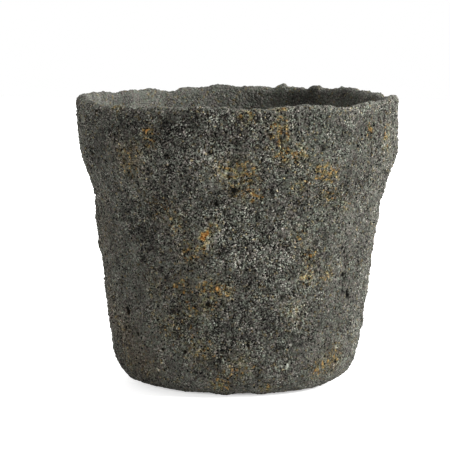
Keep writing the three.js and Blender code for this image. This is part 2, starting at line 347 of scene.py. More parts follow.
def patch(row, column, reach):
    """Bell-shaped patch about one grid point: exp(-(distance / reach)^2 / 2) on the skin."""
    turn_apart = np.angle(np.exp(1j * (theta - theta[column])))
    radius = np.interp(s_outside[row], walk, path[:, 0])
    around = np.exp(-((turn_apart * radius / reach) ** 2) / 2)
    along = np.exp(-(((s_outside - s_outside[row]) / reach) ** 2) / 2)
    return (along[:, None] * around[None, :]).astype(np.float32)


def placed(spots):
    """Sum of the patches of (pixel across, pixel down, reach in mm, strength), each times its strength."""
    total = np.zeros(bare.shape[:2], np.float32)
    for across, down, reach, strength in spots:
        total += strength * patch(*nearest_on_front(across, down), reach * MM)
    return total


def by_chance(spots, count, seed):
    """Patches for the far side: each has a random place, and the reach and strength of a random spot."""
    total = np.zeros(bare.shape[:2], np.float32)
    for turn, climb, pick in np.random.default_rng(seed).random((count, 3)):
        _, _, reach, strength = spots[int(pick * len(spots))]
        column = int((FAR_SIDE_START + FAR_SIDE_SHARE * turn) * COLUMNS / 2)
        row = int(CLIMB_SHARE * climb * (rows_outside - 1))
        total += strength * patch(row, column, reach * MM)
    return total


print("pixel 225, 225 lies on row and column", nearest_on_front(225, 225))

# %% [markdown]
# ## Grit as caps of pebbles
# The coat is cement with grit of several sizes. A displacement texture could rough it up, but grit is
# made of round grains that sit side by side with dark gaps, and each grain has its own colour. So the
# skin is cut into cells, each with one grain, and every point takes the height and the shade of the
# tallest grain above it.

# %% Beds of grains
LONGEST_WALK = walk[-1]
MEAN_RADIUS = (COLLAR_RADIUS + HEEL_RADIUS) / 2
SPARE_ROWS = 3
# A grain's reach is counted in cells, and its height in shares of its bed's height.
LEAST_REACH = 0.42
REACH_SPREAD = 0.4
LEAST_HEIGHT = 0.3
HEIGHT_SPREAD = 0.7
GRAIN_DRAWS = 5


def grain_bed(size, seed):
    """Tables of one bed: five draws from 0 to 1 for each cell.

    They are its grain's place across and along the cell, its width, its height and its shade.
    """
    columns = round(TURN * MEAN_RADIUS / size)
    rows = int(LONGEST_WALK / size) + SPARE_ROWS
    draws = np.random.default_rng(seed).random((GRAIN_DRAWS, rows, columns), dtype=np.float32)
    return {"size": size, "columns": columns, "rows": rows, "draws": draws}


def lay_grains(bed, theta, s):
    """Height and shade of the tallest grain over each point.

    A grain is a cap: height * sqrt(1 - (distance / reach)^2), with the distance counted in cells.
    """
    columns, rows = bed["columns"], bed["rows"]
    across, along, width, tall, shade = bed["draws"]
    radius = np.interp(s, walk, path[:, 0])
    stretch = (TURN * radius / columns / bed["size"]).astype(np.float32)[:, None]
    place_u = (theta / TURN * columns).astype(np.float32)
    place_v = (s / bed["size"] + 1).astype(np.float32)
    cell_u = np.floor(place_u).astype(int)
    cell_v = np.floor(place_v).astype(int)
    best = np.zeros((len(s), len(theta)), np.float32)
    owner = np.zeros_like(best)
    for step_v in (-1, 0, 1):
        row = np.clip(cell_v + step_v, 0, rows - 1)[:, None]
        for step_u in (-1, 0, 1):
            column = ((cell_u + step_u) % columns)[None, :]
            off_u = (place_u - cell_u - step_u)[None, :] - across[row, column]
            off_v = (place_v - cell_v - step_v)[:, None] - along[row, column]
            reach = LEAST_REACH + REACH_SPREAD * width[row, column]
            inside = 1 - ((off_u * stretch) ** 2 + off_v**2) / reach**2
            top = LEAST_HEIGHT + HEIGHT_SPREAD * tall[row, column]
            cap = top * np.sqrt(np.maximum(inside, 0))
            owner = np.where(cap > best, shade[row, column], owner)
            best = np.maximum(best, cap)
    return best, owner


NUBS = grain_bed(4.6 * MM, seed=11)
GRAINS = grain_bed(2.3 * MM, seed=12)
SAND = grain_bed(1.4 * MM, seed=13)
PORES = grain_bed(5.5 * MM, seed=14)
print("grains round the pot in each bed:", NUBS["columns"], GRAINS["columns"], SAND["columns"])

# %% Soft waves
LEAST_WAVE = 0.7
WAVE_SPREAD = 0.6


def soft_waves(theta, s, size, count, seed):
    """Soft unevenness: the sum of slanting waves in random directions, scaled to a spread of about 1."""
    draw = np.random.default_rng(seed).random((3, count))
    heading = TURN * draw[0]
    length = size * (LEAST_WAVE + WAVE_SPREAD * draw[1])
    around = np.round(TURN * MEAN_RADIUS / length * np.cos(heading))
    upward = TURN / length * np.sin(heading)
    total = np.zeros((len(s), len(theta)), np.float32)
    for n, m, phase in zip(around, upward, TURN * draw[2]):
        total += np.cos((m * s + phase)[:, None] + (n * theta)[None, :]).astype(np.float32)
    return total / np.sqrt(count / 2)


print("waves are from", LEAST_WAVE, "to", LEAST_WAVE + WAVE_SPREAD, "times the length that is asked for")

# %% [markdown]
# ## Coarse, worn and fine places
# The coat isn't the same everywhere. In the middle of the front, pale coarse grit stands out like salt,
# with black gaps between its grains. To the sides and low down the hand has rubbed it smoother. Inside
# the lip the same mix was brushed fine. One value, salt, goes from 0 where it is rubbed to 1 where it is
# coarse, and another, fine, goes from 0 outside to 1 inside.

# %% Salt and fineness
SALT_PIXELS = [  # pixel across, pixel down, reach in mm, change of salt
    (210, 207, 7, 0.6), (245, 240, 15, 0.4), (270, 265, 13, 0.35), (165, 150, 12, 0.45),
    (190, 335, 8, 0.2), (230, 360, 9, 0.15), (205, 140, 14, 0.3), (268, 128, 12, 0.2), (225, 230, 8, 0.3),
    (345, 160, 20, -0.35), (345, 240, 20, -0.35), (335, 310, 17, -0.45), (115, 240, 18, -0.4),
    (105, 150, 14, -0.35), (195, 275, 8, -0.4), (140, 340, 15, -0.35), (210, 185, 5, -0.35),
    (315, 355, 12, -0.3), (165, 275, 10, -0.35), (130, 290, 14, -0.3), (296, 114, 9, -0.35),
    (173, 113, 8, -0.3), (290, 336, 9, -0.25), (340, 145, 9, 0.2),
]
SALT_BY_CHANCE = 26
PLAIN_SALT = 0.5
SALT_WAVES = (24 * MM, 24, 44)  # length, count and seed of soft waves
SALT_CHANGE = 0.08
FOOT_RUBBED = 0.2
RUBBED_UP_TO = (25 * MM, 65 * MM)
LIP_MIDDLE = (ends["collar"] + ends["crest"]) / 2
LIP_CHANGE = (LIP_MIDDLE - 4 * MM, LIP_MIDDLE + 3 * MM)


def fineness(s):
    """0 on the outside and 1 on the inside, with the change on the crest of the lip."""
    return smoothstep(s, *LIP_CHANGE)


fine = np.repeat(fineness(s_outside)[:, None], COLUMNS, axis=1)
salt = PLAIN_SALT + placed(SALT_PIXELS) + by_chance(SALT_PIXELS, SALT_BY_CHANCE, seed=51)
salt -= FOOT_RUBBED * (1 - smoothstep(s_outside, *RUBBED_UP_TO))[:, None]
salt = np.clip(salt + SALT_CHANGE * soft_waves(theta, s_outside, *SALT_WAVES), 0, 1)
salt = salt + (PLAIN_SALT - salt) * fine
print("salt from", salt.min(), "to", salt.max(), "mean", salt.mean())

# %% [markdown]
# ## How high each bed stands
# Sand covers everything. Grains and a few tall nubs stand on it, and pores go down between them. The
# coarse beds fade over the lip, and the heel was pressed flatter. The pits and the pressed places that
# the photograph shows are placed by their pixel.

# %% Coarseness along the walk
FOOT_COARSE = 0.35
FOOT_EASE = 40 * MM
LOST_INSIDE = 0.85
NUB_FADE = 6 * MM


def coarseness(s):
    """How coarse the skin is along the walk: small at the foot, 1 up the outside, small inside the lip."""
    begins = FOOT_COARSE + (1 - FOOT_COARSE) * smoothstep(s, 0, FOOT_EASE)
    return begins * (1 - LOST_INSIDE * fineness(s))


def below_lip(s):
    """1 below the lip and 0 from its crest on."""
    return 1 - smoothstep(s, ends["collar"] - NUB_FADE, ends["collar"])


def off_floor(s):
    """1 on the walls, and 0 on the pot's floor, where the slurry has settled flat."""
    return 1 - smoothstep(s, ends["inside"], ends["round"])


print("coarseness at the foot and at the hem:", coarseness(np.array([0, ends["hem"]])))

# %% Height of the skin
# Bedded is the part of a cap that lies below the mean skin, and steady the part of its height that stays
# where the skin is smooth.
NUB_HEIGHT = 8.5 * MM
NUB_START = 0.85
GRAIN_HEIGHT = 1.2 * MM
GRAIN_BEDDED = 0.5
GRAIN_STEADY = 0.2
SAND_HEIGHT = 0.6 * MM
SAND_BEDDED = 0.8
SAND_STEADY = 0.5
PORE_DEPTH = 1.1 * MM
PORE_SHARE = 0.06
RIPPLE_HEIGHT = 0.37 * MM
LONG_RIPPLES = (15 * MM, 24, 22)  # length, count and seed of soft waves
SHORT_RIPPLES = (7.5 * MM, 40, 23)
SHORT_RIPPLE_SHARE = 0.2
COARSE_UNSALTED = 0.7
COARSE_BY_SALT = 0.6
SHADE_SHARES = (0.15, 0.25, 0.6)
MIDDLE_SHADE = 0.5


def skin_relief(theta, s, salt):
    """Height in metres and shade from 0 to 1: ripples plus three beds of caps, less pores."""
    coarse = coarseness(s)[:, None].astype(np.float32) * (COARSE_UNSALTED + COARSE_BY_SALT * salt)
    ripples = soft_waves(theta, s, *LONG_RIPPLES)
    ripples = ripples + SHORT_RIPPLE_SHARE * soft_waves(theta, s, *SHORT_RIPPLES)
    nubs, nub_shade = lay_grains(NUBS, theta, s)
    grains, grain_shade = lay_grains(GRAINS, theta, s)
    sand, sand_shade = lay_grains(SAND, theta, s)
    pores, pore_draw = lay_grains(PORES, theta, s)
    height = RIPPLE_HEIGHT * ripples * coarse
    height += NUB_HEIGHT * np.maximum(nubs - NUB_START, 0) * coarse * below_lip(s)[:, None]
    height += GRAIN_HEIGHT * (grains - GRAIN_BEDDED) * (coarse * (1 - GRAIN_STEADY) + GRAIN_STEADY)
    height += SAND_HEIGHT * (sand - SAND_BEDDED) * (coarse * (1 - SAND_STEADY) + SAND_STEADY)
    height -= PORE_DEPTH * pores * (pore_draw < PORE_SHARE) * coarse
    shade = sum(share * own for share, own in zip(SHADE_SHARES, (nub_shade, grain_shade, sand_shade)))
    wall = off_floor(s)[:, None]
    return height * wall, MIDDLE_SHADE + (shade - MIDDLE_SHADE) * wall


relief, shade = skin_relief(theta, s_outside, salt)
print("grit in mm from", relief.min() / MM, "to", relief.max() / MM)

# %% Pits and pressed places of the front
PIT_PIXELS = [  # pixel across, pixel down, reach in mm, rise in mm
    (234, 191, 2.2, -0.9), (216, 204, 1.2, -1.4), (165, 156, 0.95, -1.4), (181, 176, 0.95, -1.4),
    (127, 309, 1.4, -1.6), (128, 313, 1.2, -1.4), (208, 305, 1.3, -1.5), (162, 350, 0.95, -1.5),
    (185, 352, 0.95, -1.5), (344, 275, 1.3, -1.4), (345, 280, 0.95, -1.4), (348, 291, 1.3, -1.4),
    (348, 296, 1.3, -1.4), (336, 361, 0.95, -1.5), (342, 286, 2.5, -0.3), (343, 248, 0.95, -1.3),
    (345, 252, 0.95, -1.3), (347, 256, 0.95, -1.3), (125, 328, 0.95, -1.4), (137, 334, 0.95, -1.4),
]
PRESS_PIXELS = [  # the same four values, for places that the hand pressed in or pushed up
    (223, 394, 5, 1.4), (261, 393, 4.5, 1.2), (247, 392, 3.2, -1.1), (185, 390, 6, 0.7),
    (131, 378, 5, 1.7), (116, 352, 8, -1.5), (340, 376, 11, -1.1), (352, 362, 9, -1.0),
    (359, 342, 12, -1.2), (365, 300, 6, 0.7), (378, 218, 8, 1.4), (383, 194, 4, 1.2),
    (394, 160, 14, -1.6), (91, 184, 17, -2.2), (98, 214, 9, -0.6), (101, 246, 6, 0.9),
    (103, 276, 11, -1.3), (77, 120, 5, 0.8), (80, 140, 7, -0.8), (121, 364, 4, 1.5), (142, 380, 4, 1.2),
]
PITS_BY_CHANCE = 14
PRESSES_BY_CHANCE = 24

pits = (placed(PIT_PIXELS) + by_chance(PIT_PIXELS, PITS_BY_CHANCE, seed=52)) * MM
relief += pits + (placed(PRESS_PIXELS) + by_chance(PRESS_PIXELS, PRESSES_BY_CHANCE, seed=56)) * MM
print("relief in mm from", relief.min() / MM, "to", relief.max() / MM, "mean", relief.mean() / MM)


# %% [markdown]
# ## Hollows between the grains
# Dirt gathers in the gaps and light does not reach them, so the colour there is darkened: partly dirt and
# partly painted shade. Blender has an Ambient Occlusion node that finds such places while it renders, but a
# value on the mesh can be measured and costs no time later. It is the mean height of a window about a
# point, less the point's own height: a small window finds the gaps between grains of sand, and a wide one
# finds the pits.

# %% Hollows
def window_mean(field, half_rows, half_columns):
    """Mean over a window of the grid, from running sums: open along the rows, closed round the pot."""
    wide = np.pad(field, ((half_rows + 1, half_rows), (0, 0)), mode="edge")
    wide = np.pad(wide, ((0, 0), (half_columns + 1, half_columns)), mode="wrap")
    sums = np.cumsum(np.cumsum(wide, axis=0, dtype=np.float64), axis=1)
    tall, broad = 2 * half_rows + 1, 2 * half_columns + 1
    total = sums[tall:, broad:] - sums[:-tall, broad:] - sums[tall:, :-broad] + sums[:-tall, :-broad]
    return (total / (tall * broad)).astype(np.float32)


GAP_DEPTH = 0.7 * MM
GAP_REACH = 2
PIT_DEPTH = 1.5 * MM
PIT_REACH = 8
BLACK_DEPTH = 0.7 * MM


def hollows(relief):
    """The deeper of two shares: the depth below a small window and the depth below a wide one.

    Each is the window's mean less the height there, over the gap depth or over the pit depth.
    """
    gaps = (window_mean(relief, GAP_REACH, GAP_REACH) - relief) / GAP_DEPTH
    pits = (window_mean(relief, PIT_REACH, PIT_REACH) - relief) / PIT_DEPTH
    return np.clip(np.maximum(gaps, pits), 0, 1)


# The placed pits are painted dark too, fully dark at BLACK_DEPTH: painted shade inside the pits.
hollow = np.maximum(hollows(relief), np.clip(-pits / BLACK_DEPTH, 0, 1))
print("mean hollow:", hollow.mean())

# %% [markdown]
# ## Rust, tone and earth
# Iron in the grit has bled into clusters of ochre and orange grains, thick in a few places and thin
# between. The coat is also paler in some places and darker in others, browner to the lower left and
# greener to the upper right; some of the darker places are painted shade of lumps below the lip and at
# the lower left of the foot. The crest of the lip is painted pale: a painted highlight. The spots of the
# front are placed by their pixel, and the other sides get spots of the same kind by chance.

# %% Clusters of rust
RUST_PIXELS = [  # pixel across, pixel down, reach in mm, strength
    (147, 132, 3, 1.2), (151, 144, 3, 0.6), (118, 106, 3, 0.8), (129, 163, 7, 0.4), (137, 150, 5, 0.4),
    (205, 236, 3, 0.9), (213, 227, 3, 0.7), (190, 254, 6, 0.6), (225, 171, 6, 0.5), (242, 170, 6, 0.6),
    (253, 174, 4, 0.5), (241, 190, 7, 0.4), (180, 285, 5, 0.6), (203, 285, 5, 0.6), (217, 289, 3, 1.0),
    (227, 291, 4, 0.7), (209, 304, 6, 0.5), (190, 310, 7, 0.4), (171, 325, 8, 0.35), (160, 208, 8, 0.25),
    (177, 222, 7, 0.35), (201, 351, 8, 0.5), (240, 367, 7, 0.5), (220, 385, 5, 0.9), (267, 389, 3, 1.1),
    (247, 116, 5, 0.6), (281, 109, 3, 0.8), (280, 130, 5, 1.1), (284, 155, 5, 0.9), (302, 155, 4, 0.8),
    (322, 171, 5, 1.0), (333, 175, 4, 0.9), (301, 186, 5, 0.5), (330, 195, 6, 0.5), (388, 140, 6, 0.5),
    (371, 131, 3, 0.7), (255, 196, 4, 0.7), (310, 257, 4, 0.7), (307, 276, 4, 0.9), (327, 275, 4, 0.8),
    (300, 236, 6, 0.3), (295, 312, 6, 0.35), (335, 357, 6, 0.55), (320, 368, 6, 0.6), (130, 362, 7, 0.3),
    (155, 285, 7, 0.25), (373, 245, 5, 0.3), (345, 205, 5, 0.3), (205, 247, 4, 0.5),
]
BLEED_PIXELS = [  # the same four values, for the few places where iron has bled out bright
    (202, 239, 1.3, 2), (204, 236, 1.5, 2.2), (207, 233, 1.2, 2), (147, 131, 1.4, 1.4),
    (217, 289, 1.1, 1.5),
]
RUST_BY_CHANCE = 58
BLEEDS_BY_CHANCE = 5
RUST_WAVES = (6 * MM, 40, 45)  # length, count and seed of soft waves
RUST_BREAK = 0.75
RUST_LEAST = 0.1
RUST_MOST = 1.2
BLEED_MOST = 2.2

rust = placed(RUST_PIXELS) + by_chance(RUST_PIXELS, RUST_BY_CHANCE, seed=31)
rust = rust * np.maximum(1 + RUST_BREAK * soft_waves(theta, s_outside, *RUST_WAVES), RUST_LEAST)
rust = np.minimum(rust, RUST_MOST) + placed(BLEED_PIXELS)
rust = rust + by_chance(BLEED_PIXELS, BLEEDS_BY_CHANCE, seed=32)
rust = np.clip(rust, 0, BLEED_MOST) * (1 - fine)
print("mean strength of rust:", rust.mean())

# %% Tone and earth
# Some darker spots are painted shade: those just below the lip stand for the shading of the collar's lumps,
# and those at the lower left of the foot for the shade there.
TONE_PIXELS = [  # pixel across, pixel down, reach in mm, paler or darker
    (207, 156, 8, 0.6), (222, 171, 6, 0.6), (190, 165, 6, 0.3), (208, 243, 4.5, 1.0), (247, 257, 6, 0.5),
    (230, 265, 6, 0.35), (202, 287, 5, 0.45), (305, 280, 6, 0.5), (287, 307, 6, 0.25),
    (195, 350, 7, 0.35), (290, 170, 7, 0.3), (212, 188, 7, 0.5), (208, 216, 7, 0.5), (216, 234, 7, 0.35),
    (155, 122, 5, 0.3), (130, 122, 7, -0.4), (167, 127, 6, -0.6), (195, 122, 6, -0.4),
    (237, 125, 6, -0.4), (187, 192, 6, -0.4), (212, 200, 5, -0.5), (160, 197, 9, -0.35),
    (342, 290, 5, -0.5), (245, 285, 5, -0.45), (270, 320, 6, -0.4), (180, 325, 8, -0.35),
    (165, 275, 8, -0.5), (138, 375, 7, -0.3), (300, 345, 7, -0.3), (135, 215, 15, -0.3),
    (148, 245, 9, -0.3), (235, 340, 9, -0.3), (280, 342, 10, -0.3), (322, 322, 8, -0.35),
    (302, 205, 10, -0.2), (192, 142, 5, -0.4), (262, 112, 6, -0.4), (225, 356, 6, -0.3),
    (262, 185, 8, -0.2), (108, 128, 13, -0.3), (92, 152, 10, -0.2), (352, 360, 9, 0.3),
    (358, 335, 8, 0.15), (150, 382, 8, -0.35), (128, 372, 6, -0.3), (120, 345, 12, -0.2),
]
CHIP_PIXELS = [  # white chips: pixel across, pixel down, reach in mm, paler
    (158, 370, 0.8, 3), (239, 364, 0.8, 3), (287, 365, 0.8, 3), (287, 368, 0.8, 3), (337, 347, 0.9, 3),
    (291, 345, 0.8, 2), (206, 245, 1.3, 2.5), (217, 289, 0.9, 2),
]
EARTH_PIXELS = [  # pixel across, pixel down, reach in mm, browner or greener
    (125, 335, 14, 0.8), (110, 300, 12, 0.7), (145, 365, 11, 0.8), (335, 362, 8, 0.6),
    (125, 155, 10, 0.6), (105, 230, 14, 0.5), (325, 130, 13, -0.6), (290, 180, 9, -0.5),
    (245, 222, 12, -0.5), (320, 220, 12, -0.4), (210, 325, 8, -0.5),
]
# Place, reach and strength of the pale band on the crest: a painted highlight.
CREST_HIGHLIGHT_MIDDLE = ends["collar"] + 5 * MM
CREST_HIGHLIGHT_REACH = 3 * MM
CREST_HIGHLIGHT_PALER = 0.7
TONE_BY_CHANCE = 36
CHIPS_BY_CHANCE = 14
EARTH_BY_CHANCE = 14
LONG_TONE = (46 * MM, 20, 41)  # length, count and seed of soft waves
LONG_CHANGE = 0.16
SHORT_TONE = (17 * MM, 24, 42)
SHORT_CHANGE = 0.12
BREAK_WAVES = (8 * MM, 30, 43)
BREAK_CHANGE = 0.6
AWAY_RANGE = (-0.3, 0.1)
WAVES_IN_FRONT = 0.5
MORE_WAVES_AWAY = 0.1


def tone_waves(theta, s):
    """Soft change of tone that needs no place of its own: a sum of long waves and a sum of short ones."""
    waves = LONG_CHANGE * soft_waves(theta, s, *LONG_TONE)
    waves = waves + SHORT_CHANGE * soft_waves(theta, s, *SHORT_TONE)
    return waves * off_floor(s)[:, None]


away = smoothstep(np.sin(theta), *AWAY_RANGE)[None, :]
broken = 1 + BREAK_CHANGE * soft_waves(theta, s_outside, *BREAK_WAVES)
tone = tone_waves(theta, s_outside) * np.maximum(WAVES_IN_FRONT + MORE_WAVES_AWAY * away, fine)
tone += (placed(TONE_PIXELS) + by_chance(TONE_PIXELS, TONE_BY_CHANCE, seed=53)) * (1 - fine) * broken
# A pale band along the crest of the lip: painted highlight where the crest faces up to the light.
tone += CREST_HIGHLIGHT_PALER * np.exp(-(((s_outside - CREST_HIGHLIGHT_MIDDLE) / CREST_HIGHLIGHT_REACH) ** 2))[:, None]
tone += placed(CHIP_PIXELS) + by_chance(CHIP_PIXELS, CHIPS_BY_CHANCE, seed=54)
earth = placed(EARTH_PIXELS) + by_chance(EARTH_PIXELS, EARTH_BY_CHANCE, seed=55)
earth = np.clip(earth, -1, 1) * (1 - fine)
print("tone from", tone.min(), "to", tone.max(), "and earth from", earth.min(), "to", earth.max())


# %% [markdown]
# ## Bands of the coat
# One mesh of the whole coat would need far more triangles than a file should hold, so the coat is laid in
# bands, as a hand lays it. Neighbours share their edge row. Each band is a closed ring: its rows climb
# the outside, and a few plain rows return down the back, against the core. Quads wrap both ways, so no
# edge is left open. Each point keeps its normal from the whole skin, so no line shows where two bands
# meet.

# %% Meshes from grids
UV_STRIPS = 4
STRIP_MARGIN = 0.02
SIDE_MARGIN = 0.005


def ring_mesh(name, grid, facing, front_rows, values):
    """A closed ring from grid[rows, columns, 3], which wraps along both. Rows past front_rows are the back.

    facing[rows, columns, 3] holds the normals of its points, and values the numbers that its finish reads.
    The bake map lays the ring as strips above each other, each a share of the turn.
    """
    rows, columns = grid.shape[:2]
    mesh = bpy.data.meshes.new(name)
    row, column = np.divmod(np.arange(rows * columns), columns)
    next_row, next_column = (row + 1) % rows, (column + 1) % columns
    corners = np.stack([
        row * columns + column,
        row * columns + next_column,
        next_row * columns + next_column,
        next_row * columns + column,
    ], axis=1)
    mesh.vertices.add(rows * columns)
    mesh.vertices.foreach_set("co", grid.reshape(-1).astype(np.float32))
    mesh.loops.add(corners.size)
    mesh.loops.foreach_set("vertex_index", corners.reshape(-1).astype(np.int32))
    mesh.polygons.add(len(corners))
    mesh.polygons.foreach_set("loop_start", np.arange(0, corners.size, 4, dtype=np.int32))
    mesh.update(calc_edges=True)
    mesh.polygons.foreach_set("use_smooth", row < front_rows - 1)
    per_strip = columns // UV_STRIPS
    strip = column // per_strip
    along = ((column - strip * per_strip)[:, None] + np.array([0, 1, 1, 0])) / per_strip
    up = (row[:, None] + np.array([0, 0, 1, 1])) / rows
    u = SIDE_MARGIN + (1 - 2 * SIDE_MARGIN) * along
    v = (strip[:, None] + STRIP_MARGIN + (1 - 2 * STRIP_MARGIN) * up) / UV_STRIPS
    bake_map = mesh.uv_layers.new(name="OFBake")
    bake_map.data.foreach_set("uv", np.stack([u, v], axis=2).reshape(-1).astype(np.float32))
    for value_name, value in values.items():
        attribute = mesh.attributes.new(value_name, "FLOAT", "POINT")
        attribute.data.foreach_set("value", value.reshape(-1).astype(np.float32))
    mesh.validate()
    mesh.normals_split_custom_set_from_vertices(facing.reshape(-1, 3))
    piece = bpy.data.objects.new(name, mesh)
    bpy.context.scene.collection.objects.link(piece)
    return piece


print("meshes are closed rings of quads with", UV_STRIPS, "strips in their bake map")

# %% Backs of the bands
SHORT_STEP = 0.05 * MM


def into_wall(theta, s):
    """Unit direction from the skin into its wall: level on the outside, square to the skin past it."""
    ahead = bare_skin(theta, s + SHORT_STEP) - bare_skin(theta, s - SHORT_STEP)
    radial = np.stack([np.cos(theta), np.sin(theta), np.zeros_like(theta)], axis=1)[None]
    along_r = np.einsum("ijk,ijk->ij", ahead, np.broadcast_to(radial, ahead.shape))[..., None]
    square = -along_r * np.array([0, 0, 1.0]) + ahead[..., 2:] * radial
    square = -square / np.linalg.norm(square, axis=2, keepdims=True)
    return np.where((s < ends["collar"])[:, None, None], -radial, square)


def backed(front, facing, theta, s, depth):
    """A front grid and its normals, each followed by plain rows at the back, from the last to the first."""
    inward = into_wall(theta, s)
    behind = bare_skin(theta, s, lumped=False) + inward * depth[:, None, None]
    return np.concatenate([front, behind]), np.concatenate([facing, inward])


print("walls in mm: coat", COAT_WALL / MM, "and lining", LINING_WALL / MM)

# %% Coat bands
BAND_NAMES = [
    "coat_heel", "coat_lower_wall", "coat_upper_wall", "coat_waist", "coat_shoulder", "coat_lip",
]
BACK_ROWS = 7
coat_points = bare + normals * relief[..., None]
coat_facing = outward(coat_points)
coat_depth = np.interp(s_outside, [ends["collar"], ends["crest"]], [COAT_WALL, LINING_WALL])
coat_values = {
    "grain": shade, "hollow": hollow, "rust": rust, "tone": tone, "salt": salt, "earth": earth,
    "fine": fine,
}
coat_bands = []
for band, name in enumerate(BAND_NAMES):
    front = np.arange(band * band_rows, (band + 1) * band_rows + 1)
    back = np.linspace(front[-1], front[0], BACK_ROWS).round().astype(int)
    order = np.concatenate([front, back])
    rows = backed(coat_points[front], coat_facing[front], theta, s_outside[back], coat_depth[back])
    values = {key: value[order] for key, value in coat_values.items()}
    piece = ring_mesh(name, *rows, len(front), values)
    coat_bands.append(piece)
    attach(piece, "pot")
    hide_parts("grit_coat")
print("coat bands:", [(p.name, len(p.data.polygons) * 2) for p in coat_bands])

# %% [markdown]
# ## Lining
# Inside the lip the mix turns fine: a brushed-on slurry that keeps water off the clay. It is the same
# walk and the same relief, so it begins at the coat's hem without a step. The part that shows over the
# front lip has the coat's fineness, and the part below, deep in the pot, has half as many columns.

# %% Lining pieces
LINING_SHOW = 38 * MM
FINE_STEP = 0.6 * MM
DEEP_STEP = 2.05 * MM
WALL_MARKS = 22
FLOOR_MARKS = 30
BACK_MARKS = np.concatenate([
    np.linspace(ends["hem"], ends["inside"], WALL_MARKS),
    np.linspace(ends["inside"], ends["floor"], FLOOR_MARKS)[1:],
])


def lining_piece(name, s_rows, turns, stitch_end):
    """One ring of lining over the rows of the walk; stitch_end halves the columns of its last row."""
    base = bare_skin(turns, s_rows)
    height, grain = skin_relief(turns, s_rows, PLAIN_SALT)
    points = base + outward(base) * height[..., None]
    if stitch_end:
        even = points[-1, 0::2]
        points[-1, 1::2] = (even + np.roll(even, -1, axis=0)) / 2
    marks = np.interp(BACK_MARKS, s_rows, np.arange(len(s_rows)))
    back = np.unique(marks.round().astype(int))[::-1]
    order = np.concatenate([np.arange(len(s_rows)), back])
    depth = np.full(len(back), LINING_WALL)
    rows = backed(points, outward(points), turns, s_rows[back], depth)
    plain = np.ones_like(height)
    values = {
        "grain": grain, "hollow": hollows(height), "rust": 0 * plain, "tone": tone_waves(turns, s_rows),
        "salt": PLAIN_SALT * plain, "earth": 0 * plain, "fine": plain,
    }
    piece = ring_mesh(name, *rows, len(s_rows), {key: value[order] for key, value in values.items()})
    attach(piece, "pot")
    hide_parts("inner_lining")
    return piece


show_end = ends["hem"] + LINING_SHOW
s_show = np.linspace(ends["hem"], show_end, int(LINING_SHOW / FINE_STEP))
s_deep = np.linspace(show_end, ends["floor"], int((ends["floor"] - show_end) / DEEP_STEP))
lining_pieces = [
    lining_piece("lining_collar", s_show, theta, True),
    lining_piece("lining_bowl", s_deep, theta[::2], False),
]
print("lining:", [(p.name, len(p.data.polygons) * 2) for p in lining_pieces])


# %% [markdown]
# ## Building a finish
# Every finish is a small graph of nodes that ends in one shader. Wiring it by hand in the node editor
# would do, but in a script the wires hide the idea. So a finish under construction is an object whose
# methods each add one node and hand back its result, and a material then reads like a recipe.

# %% Recipe for a finish
NOISE_ROUGHNESS = 0.6
COLOUR_A = 6  # numbers of the Mix node's two inputs for colour
COLOUR_B = 7


